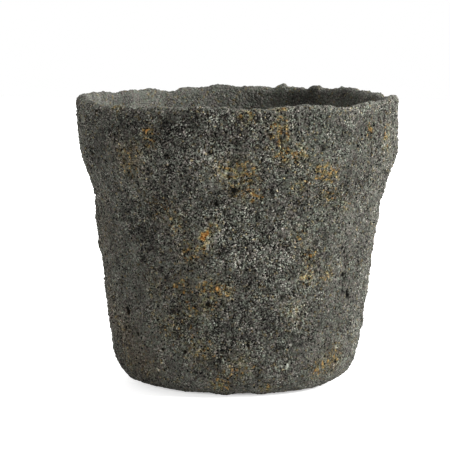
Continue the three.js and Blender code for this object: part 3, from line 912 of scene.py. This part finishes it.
class Finish:
    """A material under construction. Each method adds a node, and a value may be a socket or a number."""

    def __init__(self, name, specular):
        self.material = bpy.data.materials.new(name)
        self.material.use_nodes = True
        self.nodes = self.material.node_tree.nodes
        self.link = self.material.node_tree.links.new
        self.shader = self.nodes["Principled BSDF"]
        self.shade("Specular IOR Level", specular)

    def join(self, value, socket):
        """Links a socket to an input, or writes a plain value there."""
        if isinstance(value, bpy.types.NodeSocket):
            self.link(value, socket)
        else:
            socket.default_value = value

    def shade(self, name, value):
        """Gives a value to the shader's input of that name."""
        self.join(value, self.shader.inputs[name])

    def add(self, kind, inputs, **settings):
        """Adds a node with its settings and gives a value to each of the inputs, by name or number."""
        node = self.nodes.new(kind)
        for key, setting in settings.items():
            setattr(node, key, setting)
        for key, value in inputs.items():
            self.join(value, node.inputs[key])
        return node

    def attribute(self, name):
        """One of the piece's own values."""
        return self.add("ShaderNodeAttribute", {}, attribute_name=name).outputs["Fac"]

    def place(self, stretch=(1, 1, 1)):
        """Object coordinates, stretched along the axes."""
        at = self.add("ShaderNodeTexCoord", {}).outputs["Object"]
        return self.add("ShaderNodeMapping", {"Vector": at, "Scale": stretch}).outputs["Vector"]

    def noise(self, scale, detail, distortion=0.0, stretch=(1, 1, 1)):
        """Noise from 0 to 1 about 0.5; scale counts its waves in one metre."""
        inputs = {"Vector": self.place(stretch), "Scale": scale, "Detail": detail}
        inputs.update({"Roughness": NOISE_ROUGHNESS, "Distortion": distortion})
        return self.add("ShaderNodeTexNoise", inputs).outputs["Fac"]

    def cells(self, scale):
        """Cells of grit, scale to a metre: three random draws of each, and the distance from its middle."""
        node = self.add("ShaderNodeTexVoronoi", {"Vector": self.place(), "Scale": scale})
        draws = self.add("ShaderNodeSeparateColor", {0: node.outputs["Color"]})
        return *draws.outputs, node.outputs["Distance"]

    def total(self, *terms):
        """Sum of (value, weight) terms; a plain number is added as it is."""
        result = sum(term for term in terms if not isinstance(term, tuple))
        for value, weight in (term for term in terms if isinstance(term, tuple)):
            inputs = {0: value, 1: weight, 2: result}
            result = self.add("ShaderNodeMath", inputs, operation="MULTIPLY_ADD").outputs[0]
        return result

    def ranged(self, value, start, end, low, high):
        """Carries start to low and end to high in a straight line, and stays there beyond them."""
        inputs = {"Value": value, "From Min": start, "From Max": end, "To Min": low, "To Max": high}
        return self.add("ShaderNodeMapRange", inputs).outputs[0]

    def ramp(self, value, stops):
        """Colour by value, through stops of (place, linear red, green, blue)."""
        node = self.add("ShaderNodeValToRGB", {0: value})
        band = node.color_ramp
        while len(band.elements) < len(stops):
            band.elements.new(0.5)
        for element, (place, *colour) in zip(band.elements, stops):
            element.position = place
            element.color = (*colour, 1)
        return node.outputs[0]

    def mixed(self, kind, factor, first, second):
        """Mixes two colours by the factor."""
        inputs = {0: factor, COLOUR_A: first, COLOUR_B: second}
        return self.add("ShaderNodeMix", inputs, data_type="RGBA", blend_type=kind).outputs[2]

    def bump(self, height, strength, distance):
        """Small relief on top of any bump that was added before."""
        inputs = {"Height": height, "Strength": strength, "Distance": distance}
        before = self.shader.inputs["Normal"].links
        if before:
            inputs["Normal"] = before[0].from_socket
        self.shade("Normal", self.add("ShaderNodeBump", inputs).outputs[0])


print("a finish has the methods", [name for name in vars(Finish) if not name.startswith("_")])

# %% [markdown]
# ## Finish of coat and lining
# Each grain of sand has its own draw, and a colour ramp turns it into stone: near black, brown grey,
# green grey and a few pale chips. Salt widens the spread of the draws, tone shifts whole places, rust
# paints some grains, hollows are darkened with dirt and painted shade, and pinholes are painted near
# black as painted shade. Coat and lining share the recipe, so the colour runs over the lip without a line.

# %% Colours of the skin
SHINE = 0.08
SAND_CELLS = 560
PINHOLE_CELLS = 400
RUST_CELLS = 780
STONE = [
    (0.0, 0.012, 0.0115, 0.011), (0.2, 0.042, 0.040, 0.036), (0.4, 0.098, 0.096, 0.083),
    (0.6, 0.180, 0.178, 0.154), (0.8, 0.29, 0.29, 0.25), (1.0, 0.55, 0.54, 0.48),
]
SLURRY = [
    (0.0, 0.05, 0.049, 0.045), (0.25, 0.120, 0.118, 0.106), (0.45, 0.195, 0.194, 0.170),
    (0.7, 0.30, 0.30, 0.262), (1.0, 0.5, 0.49, 0.44),
]
IRON = [
    (0.0, 0.13, 0.06, 0.022), (0.35, 0.31, 0.155, 0.045), (0.7, 0.44, 0.28, 0.095), (1.0, 0.60, 0.45, 0.22),
]
BLEED = [(0.0, 0.36, 0.13, 0.03), (0.5, 0.60, 0.25, 0.06), (1.0, 0.80, 0.45, 0.15)]
TINTS = [
    (0.0, 1.06, 0.95, 0.98), (0.4, 0.99, 0.995, 1.01), (0.75, 0.93, 1.03, 0.97), (0.9, 1, 1, 0.94),
    (1.0, 1.2, 1.0, 0.66),
]
EARTHS = [(0.0, 0.94, 1.0, 0.97), (0.5, 1, 1, 1), (1.0, 1.06, 0.95, 0.86)]
HAZE = [(0.0, 1, 1, 1), (1.0, 1.1, 0.99, 0.66)]
# Darkening of the hollows: partly dirt, partly painted shade where light does not reach.
DIRT_AND_PAINTED_SHADE = [(0.0, 1, 1, 1), (0.4, 0.7, 0.69, 0.67), (1.0, 0.05, 0.048, 0.045)]
# Near black for the pinholes: painted shade inside pores that the mesh does not hold.
PAINTED_PINHOLE_SHADE = (0.004, 0.004, 0.004, 1)
print("stone from", STONE[0][1:], "to", STONE[-1][1:])

# %% Place of each grain on the ramp
# Waves are counted in one metre. A share says how far a value moves a grain along the ramp, and a spread
# says how far apart the grains lie on it.
SPECK_WAVES = 1000
UNREST_WAVES = 150
COARSE_MOTTLE = 100
FINE_MOTTLE = 210
PLAIN_STONE = 0.425
TONE_SHARE = 0.28
MOTTLE_SHARE = 0.6
FINE_SHARE = -0.06
OWN_START = -0.69
DRAW_SHARE = 0.2
GRAIN_SHARE = 0.25
# A grain is darker towards the edge of its cell: painted shade in the gaps between grains.
GAP_SHARE = -0.5
SPECK_SHARE = 1.5
MOTTLE_START = -0.5
COARSE_SHARE = 0.7
SALT_SPREAD = (0.4, 1.2)
FINE_SPREAD = (1, 0.65)
UNREST_SPREAD = (0.35, 0.65, 0.55, 1.5)


def grain_index(f, salt, fine, speck, draw, gap):
    """A plain place, plus each grain's own draw times the spread there, plus tone and mottle."""
    own = f.total(
        OWN_START, (draw, DRAW_SHARE), (f.attribute("grain"), GRAIN_SHARE), (gap, GAP_SHARE),
        (speck, SPECK_SHARE),
    )
    spread = f.total((f.ranged(salt, 0, 1, *SALT_SPREAD), f.ranged(fine, 0, 1, *FINE_SPREAD)))
    spread = f.total((spread, f.ranged(f.noise(UNREST_WAVES, detail=2), *UNREST_SPREAD)))
    mottle = f.total(
        MOTTLE_START, (f.noise(COARSE_MOTTLE, detail=2), COARSE_SHARE),
        (f.noise(FINE_MOTTLE, detail=3), 1 - COARSE_SHARE),
    )
    return f.total(
        PLAIN_STONE, (own, spread), (f.attribute("tone"), TONE_SHARE), (mottle, MOTTLE_SHARE),
        (fine, FINE_SHARE),
    )


print("a plain grain lies at", PLAIN_STONE, "of the ramp of stone")

# %% Rust and pinholes
# An edge or a range is where a colour begins and where it is full, and a cover is its greatest strength.
RUST_START = 0.1
RUST_SHARE = 0.4
RUST_GAP_SHARE = -0.25
RUST_EDGE = 0.12
RUST_COVER = 0.75
BLEED_RANGE = (1.3, 2.1)
BLEED_COVER = 0.85
HOLES_BY_SALT = 0.15
HOLES_BY_SIZE = 0.14
HOLES_BY_SPECK = 0.25
HOLE_CHANCE = (0.79, 0.80)
HOLE_EDGE = (0.495, 0.54)


def with_rust(f, colour, rust):
    """Iron where the strength of rust beats a grain's draw, and a bright bleed where it is greatest."""
    draw, shade, _, gap = f.cells(RUST_CELLS)
    lead = f.total(RUST_START, (rust, RUST_SHARE), (draw, -1), (gap, RUST_GAP_SHARE))
    colour = f.mixed("MIX", f.ranged(lead, 0, RUST_EDGE, 0, RUST_COVER), colour, f.ramp(shade, IRON))
    return f.mixed("MIX", f.ranged(rust, *BLEED_RANGE, 0, BLEED_COVER), colour, f.ramp(shade, BLEED))


def pinholes(f, salt, fine, speck):
    """1 about the middle of the cells with the highest draws, outside alone; specks tear the edge."""
    draw, size, _, from_middle = f.cells(PINHOLE_CELLS)
    chosen = f.ranged(f.total((draw, 1), (salt, HOLES_BY_SALT), (fine, -1)), *HOLE_CHANCE, 0, 1)
    torn = f.total((from_middle, 1), (size, HOLES_BY_SIZE), (speck, HOLES_BY_SPECK))
    return f.total((f.ranged(torn, *HOLE_EDGE, 1, 0), chosen))


print("cells to a metre: sand", SAND_CELLS, "rust", RUST_CELLS, "pinholes", PINHOLE_CELLS)

# %% Finish of the skin
SKIN_ROUGHNESS = (0.78, 1.0)
DOME_BUMP = (0.9, 0.7 * MM)
SPECK_BUMP = (0.8, 0.6 * MM)


def skin_finish(name):
    """Stone by draw, salt and tone; slurry where fine; rust by cluster; dirt and painted shade in hollows;
    small bumps.
    """
    f = Finish(name, SHINE)
    fine, rust, salt = f.attribute("fine"), f.attribute("rust"), f.attribute("salt")
    draw, tint, _, gap = f.cells(SAND_CELLS)
    speck = f.noise(SPECK_WAVES, detail=0)
    index = grain_index(f, salt, fine, speck, draw, gap)
    earth = f.ranged(f.attribute("earth"), -1, 1, 0, 1)
    colour = f.mixed("MIX", fine, f.ramp(index, STONE), f.ramp(index, SLURRY))
    for value, stops in ((tint, TINTS), (earth, EARTHS), (rust, HAZE)):
        colour = f.mixed("MULTIPLY", 1.0, colour, f.ramp(value, stops))
    colour = with_rust(f, colour, rust)
    # Hollows and pits are darkened: partly dirt, partly painted shade.
    colour = f.mixed("MULTIPLY", 1.0, colour, f.ramp(f.attribute("hollow"), DIRT_AND_PAINTED_SHADE))
    # Pinholes are painted near black: painted shade inside the pores.
    f.shade("Base Color", f.mixed("MIX", pinholes(f, salt, fine, speck), colour, PAINTED_PINHOLE_SHADE))
    f.shade("Roughness", f.ranged(speck, 0, 1, *SKIN_ROUGHNESS))
    f.bump(f.total((gap, -1.0)), *DOME_BUMP)
    f.bump(speck, *SPECK_BUMP)
    return f.material


coat_finish = skin_finish("grit_coat_finish")
lining_finish = skin_finish("inner_lining_finish")
for piece in coat_bands:
    piece.data.materials.append(coat_finish)
for piece in lining_pieces:
    piece.data.materials.append(lining_finish)
print("coat finish has", len(coat_finish.node_tree.nodes), "nodes")

# %% [markdown]
# ## Turned pieces
# The plug and the pads are plain turned forms with soft edges. A cylinder with a Bevel modifier would be
# near, but a moulded edge has its own radius, so the profile's corners are rounded first, then the
# profile is turned. Both of its ends lie on the axis and close there in one point.

# %% Rounding and turning
MOST_CUT = 0.45
CLOSEST = 0.02 * MM


def rounded(corners, radius, steps=6):
    """A polyline whose inner corners are curves between points that lie one radius away from the corner."""
    corners = np.asarray(corners, float)
    pieces = [corners[:1]]
    for before, at, after in zip(corners, corners[1:], corners[2:]):
        to_before, to_after = before - at, after - at
        cut_before = min(radius / np.linalg.norm(to_before), MOST_CUT)
        cut_after = min(radius / np.linalg.norm(to_after), MOST_CUT)
        pieces.append(bezier([at + cut_before * to_before, at, at + cut_after * to_after], steps))
    return np.concatenate([*pieces, corners[-1:]])


def evenly(profile, step):
    """The same profile with more points, none further apart than the step."""
    length = np.concatenate([[0], np.cumsum(np.hypot(*np.diff(profile, axis=0).T))])
    marks = np.unique(np.concatenate([length, np.arange(0, length[-1], step)]))
    keep = np.concatenate([[True], np.diff(marks) > CLOSEST])
    keep[-1] = True
    return np.stack([np.interp(marks[keep], length, column) for column in profile.T], axis=1)


def turned_piece(name, profile, columns, centre=(0, 0), rough=0.0, seed=0):
    """A profile of (radius, height) turned about an upright axis: (radius cos t, radius sin t, height).

    rough moves its points in and out by chance.
    """
    turns = np.arange(columns) * (TURN / columns)
    ring = profile[1:-1, None, :]
    grid = np.stack([
        ring[..., 0] * np.cos(turns),
        ring[..., 0] * np.sin(turns),
        np.repeat(ring[..., 1], columns, axis=1),
    ], axis=2)
    grid += outward(grid) * np.random.default_rng(seed).normal(0, 1, grid.shape[:2])[..., None] * rough
    grid[..., 2] = np.clip(grid[..., 2], profile[:, 1].min(), profile[:, 1].max())
    poles = np.array([[0, 0, profile[0, 1]], [0, 0, profile[-1, 1]]])
    points = np.concatenate([grid.reshape(-1, 3), poles]) + np.array([*centre, 0])
    rows = len(grid)
    row, column = np.divmod(np.arange((rows - 1) * columns), columns)
    after = (column + 1) % columns
    quads = np.stack([column, after, after + columns, column + columns], axis=1) + (row * columns)[:, None]
    spoke = np.arange(columns)
    spoke_after = (spoke + 1) % columns
    last = (rows - 1) * columns
    bottom = np.stack([spoke_after, spoke, np.full(columns, rows * columns)], axis=1)
    top = np.stack([last + spoke, last + spoke_after, np.full(columns, rows * columns + 1)], axis=1)
    mesh = bpy.data.meshes.new(name)
    mesh.from_pydata(points.tolist(), [], quads.tolist() + bottom.tolist() + top.tolist())
    mesh.polygons.foreach_set("use_smooth", np.ones(len(mesh.polygons), bool))
    piece = bpy.data.objects.new(name, mesh)
    bpy.context.scene.collection.objects.link(piece)
    return piece


print("a square with round corners has", len(rounded([(0, 0), (1, 0), (1, 1), (0, 1)], 0.2)), "points")

# %% [markdown]
# ## Drain plug
# The plug is one piece of black rubber: a stem with three sealing ribs that fills the drain hole, a
# flange that lies on the lining, and a knob to pull it out by. Rubber comes out of its mould with every
# edge a little round.

# %% Drain plug
PLUG_CLEARANCE = 0.35 * MM
RIB_COUNT = 3
RIB_DEPTH = 1.1 * MM
RIB_HALF_WIDTH = 0.9 * MM
STEM_BEVEL = 1.1 * MM
FLANGE_RADIUS = 17 * MM
FLANGE_THICKNESS = 2.6 * MM
FLANGE_BEVEL = 1.2 * MM
KNOB_RADIUS = 5 * MM
KNOB_NECK = 3.2 * MM
KNOB_CROWN = 2.6 * MM
MOULD_ROUND = 0.4 * MM
KNOB_STEPS = 40
PLUG_STEP = 0.6 * MM
PLUG_COLUMNS = 180


def plug_profile():
    """Corners of the stem with its ribs, the flange and the neck, rounded, then the ellipse of the knob."""
    rib = DRAIN_RADIUS - PLUG_CLEARANCE
    stem = rib - RIB_DEPTH
    pitch = STEM_LENGTH / (RIB_COUNT + 0.5)
    ribs = [stem_bottom + pitch * (i + 0.5) for i in range(RIB_COUNT)]
    flange_top = lining_floor + FLANGE_THICKNESS
    knob_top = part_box("drain_plug")[1].z
    corners = [(0, stem_bottom), (stem - STEM_BEVEL, stem_bottom)]
    for z in ribs:
        corners += [(stem, z - RIB_HALF_WIDTH), (rib, z), (stem, z + RIB_HALF_WIDTH)]
    corners += [
        (stem, lining_floor), (FLANGE_RADIUS, lining_floor), (FLANGE_RADIUS, flange_top - FLANGE_BEVEL),
        (FLANGE_RADIUS - FLANGE_BEVEL, flange_top), (KNOB_NECK, flange_top),
    ]
    undercut = -np.degrees(np.arccos(KNOB_NECK / KNOB_RADIUS))
    knob = arc((0, knob_top - KNOB_CROWN), KNOB_RADIUS, KNOB_CROWN, undercut, 90, KNOB_STEPS)
    profile = np.concatenate([rounded([*corners, knob[0]], MOULD_ROUND), knob[1:]])
    return evenly(profile, PLUG_STEP)


drain_plug = turned_piece("plug_rubber", plug_profile(), PLUG_COLUMNS)
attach(drain_plug, "plug")
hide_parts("drain_plug")
print("plug triangles:", len(drain_plug.data.polygons) * 2)

# %% Rubber finish
RUBBER = [(0.0, 0.010, 0.010, 0.010), (0.6, 0.022, 0.022, 0.021), (1.0, 0.045, 0.044, 0.042)]
DUST_COLOUR = (0.16, 0.155, 0.14, 1)
RUBBER_SHINE = 0.4
CLOUD_WAVES = 140
DUST_WAVES = 260
DUST_TWIST = 0.6
DUST_RANGE = (0.52, 0.72, 0, 0.45)
CLOUD_SHARE = 0.5
DUST_SHARE = 0.8
RUBBER_ROUGHNESS = (0.1, 0.7, 0.48, 0.85)
MOULD_WAVES = 2600
MOULD_BUMP = (0.25, 0.12 * MM)


def rubber_finish():
    """Black rubber with a faint cloud, pale dust in patches, and the fine grain of its mould."""
    f = Finish("drain_plug_finish", RUBBER_SHINE)
    cloud = f.noise(CLOUD_WAVES, detail=4)
    dust = f.ranged(f.noise(DUST_WAVES, detail=6, distortion=DUST_TWIST), *DUST_RANGE)
    f.shade("Base Color", f.mixed("MIX", dust, f.ramp(cloud, RUBBER), DUST_COLOUR))
    f.shade("Roughness", f.ranged(f.total((cloud, CLOUD_SHARE), (dust, DUST_SHARE)), *RUBBER_ROUGHNESS))
    f.bump(f.noise(MOULD_WAVES, detail=2), *MOULD_BUMP)
    return f.material


drain_plug.data.materials.append(rubber_finish())
print("rubber is", RUBBER[1][1], "of white")

# %% [markdown]
# ## Felt pads
# Four pads of pressed felt keep the foot off the table. Felt has no weave: its fibres lie in every
# direction, its faces are a little uneven and its cut edge is fuzzy. Hair particles would be far too
# heavy for a pad that is hardly seen, so the fibres are a twisted noise and the unevenness is in the
# mesh.

# %% Felt pads
PAD_COUNT = 4
PAD_ROUND = 0.45 * MM
FELT_STEP = 0.5 * MM
FELT_ROUGH = 0.05 * MM
FELT_COLUMNS = 120
FELT_SEED = 60


def felt_pad(number):
    """A rounded disc that fills the box of its solid, with its points moved by chance like needled felt."""
    low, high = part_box(f"felt_pad_{number}")
    radius = (high.x - low.x) / 2
    corners = [(0, low.z), (radius, low.z), (radius, high.z), (0, high.z)]
    profile = evenly(rounded(corners, PAD_ROUND), FELT_STEP)
    centre = ((low.x + high.x) / 2, (low.y + high.y) / 2)
    pad = turned_piece(f"felt_{number}", profile, FELT_COLUMNS, centre, FELT_ROUGH, FELT_SEED + number)
    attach(pad, "pot")
    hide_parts(f"felt_pad_{number}")
    return pad


felt_pads = [felt_pad(number + 1) for number in range(PAD_COUNT)]
print("pads:", [(pad.name, len(pad.data.polygons)) for pad in felt_pads])

# %% Felt finish
WOOL = [
    (0.2, 0.018, 0.017, 0.015), (0.5, 0.045, 0.041, 0.036), (0.75, 0.085, 0.078, 0.068),
    (0.95, 0.17, 0.16, 0.14),
]
FELT_SHINE = 0.1
FIBRE_WAVES = 700
FIBRE_TWIST = 3.5
FIBRE_SHARE = 0.8
BLEND_WAVES = 160
BLEND_SHARE = 0.25
FELT_ROUGHNESS = (0.9, 1.0)
SHEEN = 0.4
SHEEN_ROUGHNESS = 0.6
FIBRE_BUMP = (0.9, 0.4 * MM)


def felt_finish():
    """Grey wool: twisted noise for the fibres, a slow cloud for the blend, and a soft sheen."""
    f = Finish("felt_pad_finish", FELT_SHINE)
    fibres = f.noise(FIBRE_WAVES, detail=6, distortion=FIBRE_TWIST)
    blend = f.noise(BLEND_WAVES, detail=2)
    f.shade("Base Color", f.ramp(f.total((fibres, FIBRE_SHARE), (blend, BLEND_SHARE)), WOOL))
    f.shade("Roughness", f.ranged(fibres, 0, 1, *FELT_ROUGHNESS))
    f.shade("Sheen Weight", SHEEN)
    f.shade("Sheen Roughness", SHEEN_ROUGHNESS)
    f.bump(fibres, *FIBRE_BUMP)
    return f.material


felt = felt_finish()
for pad in felt_pads:
    pad.data.materials.append(felt)
print("felt finish has", len(felt.node_tree.nodes), "nodes")

# %% [markdown]
# ## Clay core
# The core shows only under the foot and in the drain hole. Its solid is right as it is, so it only gets a
# finish: unglazed fired clay, grey brown, with grog in it, small pores and paler scuffs where it was
# dragged over a shelf.

# %% Clay finish
CLAY = [(0.2, 0.07, 0.055, 0.042), (0.5, 0.125, 0.097, 0.074), (0.8, 0.20, 0.16, 0.125)]
GROG_COLOUR = (0.30, 0.26, 0.21, 1)
PORE_COLOUR = (0.03, 0.024, 0.02, 1)
CLAY_SHINE = 0.3
BROAD_CLOUD = 28
SMALL_CLOUD = 420
BROAD_SHARE = 0.6
GROG_CELLS = 560
GROG_START = 0.06
GROG_GAP_SHARE = -0.05
GROG_COVER = 0.8
PORE_START = -0.94
PORE_GAP_SHARE = -0.1
PORE_COVER = 0.9
GRAIN_EDGE = 0.02
SCUFF_WAVES = 60
SCUFF_STRETCH = (1, 9, 1)
SCUFF_RANGE = (0.55, 0.75, 0, 0.35)
CLAY_ROUGHNESS = (0.2, 0.8, 0.75, 0.95)
PORE_SINK = -0.6
CLAY_BUMP = (0.7, 0.5 * MM)


def clay_finish():
    """Fired clay: two clouds, pale grog, dark pores, scuffs along one direction, and a fine bump."""
    f = Finish("clay_core_finish", CLAY_SHINE)
    cloud = f.total(
        (f.noise(BROAD_CLOUD, detail=5), BROAD_SHARE), (f.noise(SMALL_CLOUD, detail=4), 1 - BROAD_SHARE),
    )
    draw, _, _, gap = f.cells(GROG_CELLS)
    lowest = f.total(GROG_START, (draw, -1), (gap, GROG_GAP_SHARE))
    highest = f.total(PORE_START, (draw, 1), (gap, PORE_GAP_SHARE))
    grog = f.ranged(lowest, 0, GRAIN_EDGE, 0, GROG_COVER)
    pores = f.ranged(highest, 0, GRAIN_EDGE, 0, PORE_COVER)
    scuffs = f.ranged(f.noise(SCUFF_WAVES, detail=5, stretch=SCUFF_STRETCH), *SCUFF_RANGE)
    colour = f.mixed("MIX", scuffs, f.ramp(cloud, CLAY), GROG_COLOUR)
    colour = f.mixed("MIX", grog, colour, GROG_COLOUR)
    f.shade("Base Color", f.mixed("MIX", pores, colour, PORE_COLOUR))
    f.shade("Roughness", f.ranged(cloud, *CLAY_ROUGHNESS))
    f.bump(f.total((cloud, 1.0), (pores, PORE_SINK)), *CLAY_BUMP)
    return f.material


clay_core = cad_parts["clay_core"]
clay_core.data.materials.clear()
clay_core.data.materials.append(clay_finish())
print("clay core has the finish", clay_core.data.materials[0].name)

# %% [markdown]
# ## Floor, world and lamps
# The photograph is a studio shot on white: a broad lamp stands to the right, a weak one lies low in
# front, so the shoulder is lit from below, a third lights the right edge from behind, and white walls
# fill the rest. The wall behind is lit to white and gives both edges of the pot a pale line. The floor is
# white for the camera too, but it keeps the soft shadow where the pot stands. Under the foot it has no
# glow, so the drain hole looks dark.

# %% What the camera sees of the studio
def seen_directly(tree):
    """1 for rays from the camera, gloss or glass, and 0 for spread light: the greatest of three flags."""
    rays = tree.nodes.new("ShaderNodeLightPath")
    result = rays.outputs["Is Camera Ray"]
    for name in ("Is Glossy Ray", "Is Transmission Ray"):
        greater = tree.nodes.new("ShaderNodeMath")
        greater.operation = "MAXIMUM"
        tree.links.new(result, greater.inputs[0])
        tree.links.new(rays.outputs[name], greater.inputs[1])
        result = greater.outputs[0]
    return result


print("the camera, gloss and glass see the studio white")

# %% Floor and wall
FLOOR_HALF = 6.0
FLOOR_LIFT = 0.6
FLOOR_GLOW = 0.12
WALL_GLOW = 2.6
WALL_BEHIND = 3.0
WALL_HEIGHT = 4.0
COVERED_GROUND = 60 * MM
OPEN_GROUND = 75 * MM
FLOOR_COLOUR = (0.85, 0.85, 0.85, 1)
WHITE = (1, 1, 1, 1)
BLACK = (0, 0, 0, 1)


def floor_finish():
    """White lit ground, dark under the foot; the camera sees it lifted, so white, with the shadow left."""
    f = Finish("studio_floor_finish", specular=0.0)
    f.shade("Base Color", FLOOR_COLOUR)
    f.shade("Roughness", 1.0)
    f.shade("Emission Color", WHITE)
    from_axis = f.add("ShaderNodeVectorMath", {0: f.place()}, operation="LENGTH").outputs["Value"]
    uncovered = f.ranged(from_axis, COVERED_GROUND, OPEN_GROUND, 0, 1)
    lift = f.total(FLOOR_GLOW, (seen_directly(f.material.node_tree), FLOOR_LIFT))
    f.shade("Emission Strength", f.total((lift, uncovered)))
    return f.material


def wall_finish():
    """A lit white wall: the camera sees it just white."""
    f = Finish("studio_wall_finish", specular=0.0)
    f.shade("Base Color", BLACK)
    f.shade("Emission Color", WHITE)
    f.shade("Emission Strength", f.ranged(seen_directly(f.material.node_tree), 0, 1, WALL_GLOW, 1))
    return f.material


def stage_plane(name, corners, finish):
    """One four-cornered plane that belongs to the studio and not to the pot."""
    mesh = bpy.data.meshes.new(name)
    mesh.from_pydata(corners, [], [(0, 1, 2, 3)])
    mesh.materials.append(finish)
    plane = bpy.data.objects.new(name, mesh)
    bpy.context.scene.collection.objects.link(plane)


far = FLOOR_HALF
ground = [(-far, -far, 0), (far, -far, 0), (far, far, 0), (-far, far, 0)]
backdrop = [(x, WALL_BEHIND, z) for x, z in ((-far, 0), (far, 0), (far, WALL_HEIGHT), (-far, WALL_HEIGHT))]
stage_plane("studio_floor", ground, floor_finish())
stage_plane("studio_wall", backdrop, wall_finish())
print("floor is", 2 * far, "m wide, and the wall stands", WALL_BEHIND, "m behind the pot")

# %% World
AMBIENT = 0.345

world = bpy.data.worlds.new("white_studio")
world.use_nodes = True
bpy.context.scene.world = world
background = world.node_tree.nodes["Background"]
background.inputs["Color"].default_value = WHITE
level = world.node_tree.nodes.new("ShaderNodeMapRange")
level.inputs["To Min"].default_value = AMBIENT
level.inputs["To Max"].default_value = 1.0
world.node_tree.links.new(seen_directly(world.node_tree), level.inputs["Value"])
world.node_tree.links.new(level.outputs[0], background.inputs["Strength"])
print("world lights with", AMBIENT)


# %% Lamps
LAMPS = [  # name, place in metres, size in metres, watts
    ("key_lamp", (2.26, -0.68, 1.3), 0.7, 65),
    ("low_lamp", (0.8, -2.3, 0.06), 0.5, 5),
    ("edge_lamp", (1.6, 1.9, 0.45), 0.8, 34),
]


def lamp(name, place, size, watts):
    """A round lamp of that size in metres, turned towards the middle of the pot."""
    data = bpy.data.lights.new(name, "AREA")
    data.shape = "DISK"
    data.size = size
    data.energy = watts
    item = bpy.data.objects.new(name, data)
    aim = Vector((0, 0, LIP_HEIGHT / 2)) - Vector(place)
    item.matrix_world = Matrix.Translation(place) @ aim.to_track_quat("-Z", "Y").to_matrix().to_4x4()
    item.visible_camera = False
    bpy.context.scene.collection.objects.link(item)


for values in LAMPS:
    lamp(*values)
bpy.context.scene.view_settings.view_transform = "Standard"
print("lamps:", [(light.name, light.energy) for light in bpy.data.lights])

# %% [markdown]
# ## Size
# The skin may stand a little proud of the solids, but the pot keeps its size.
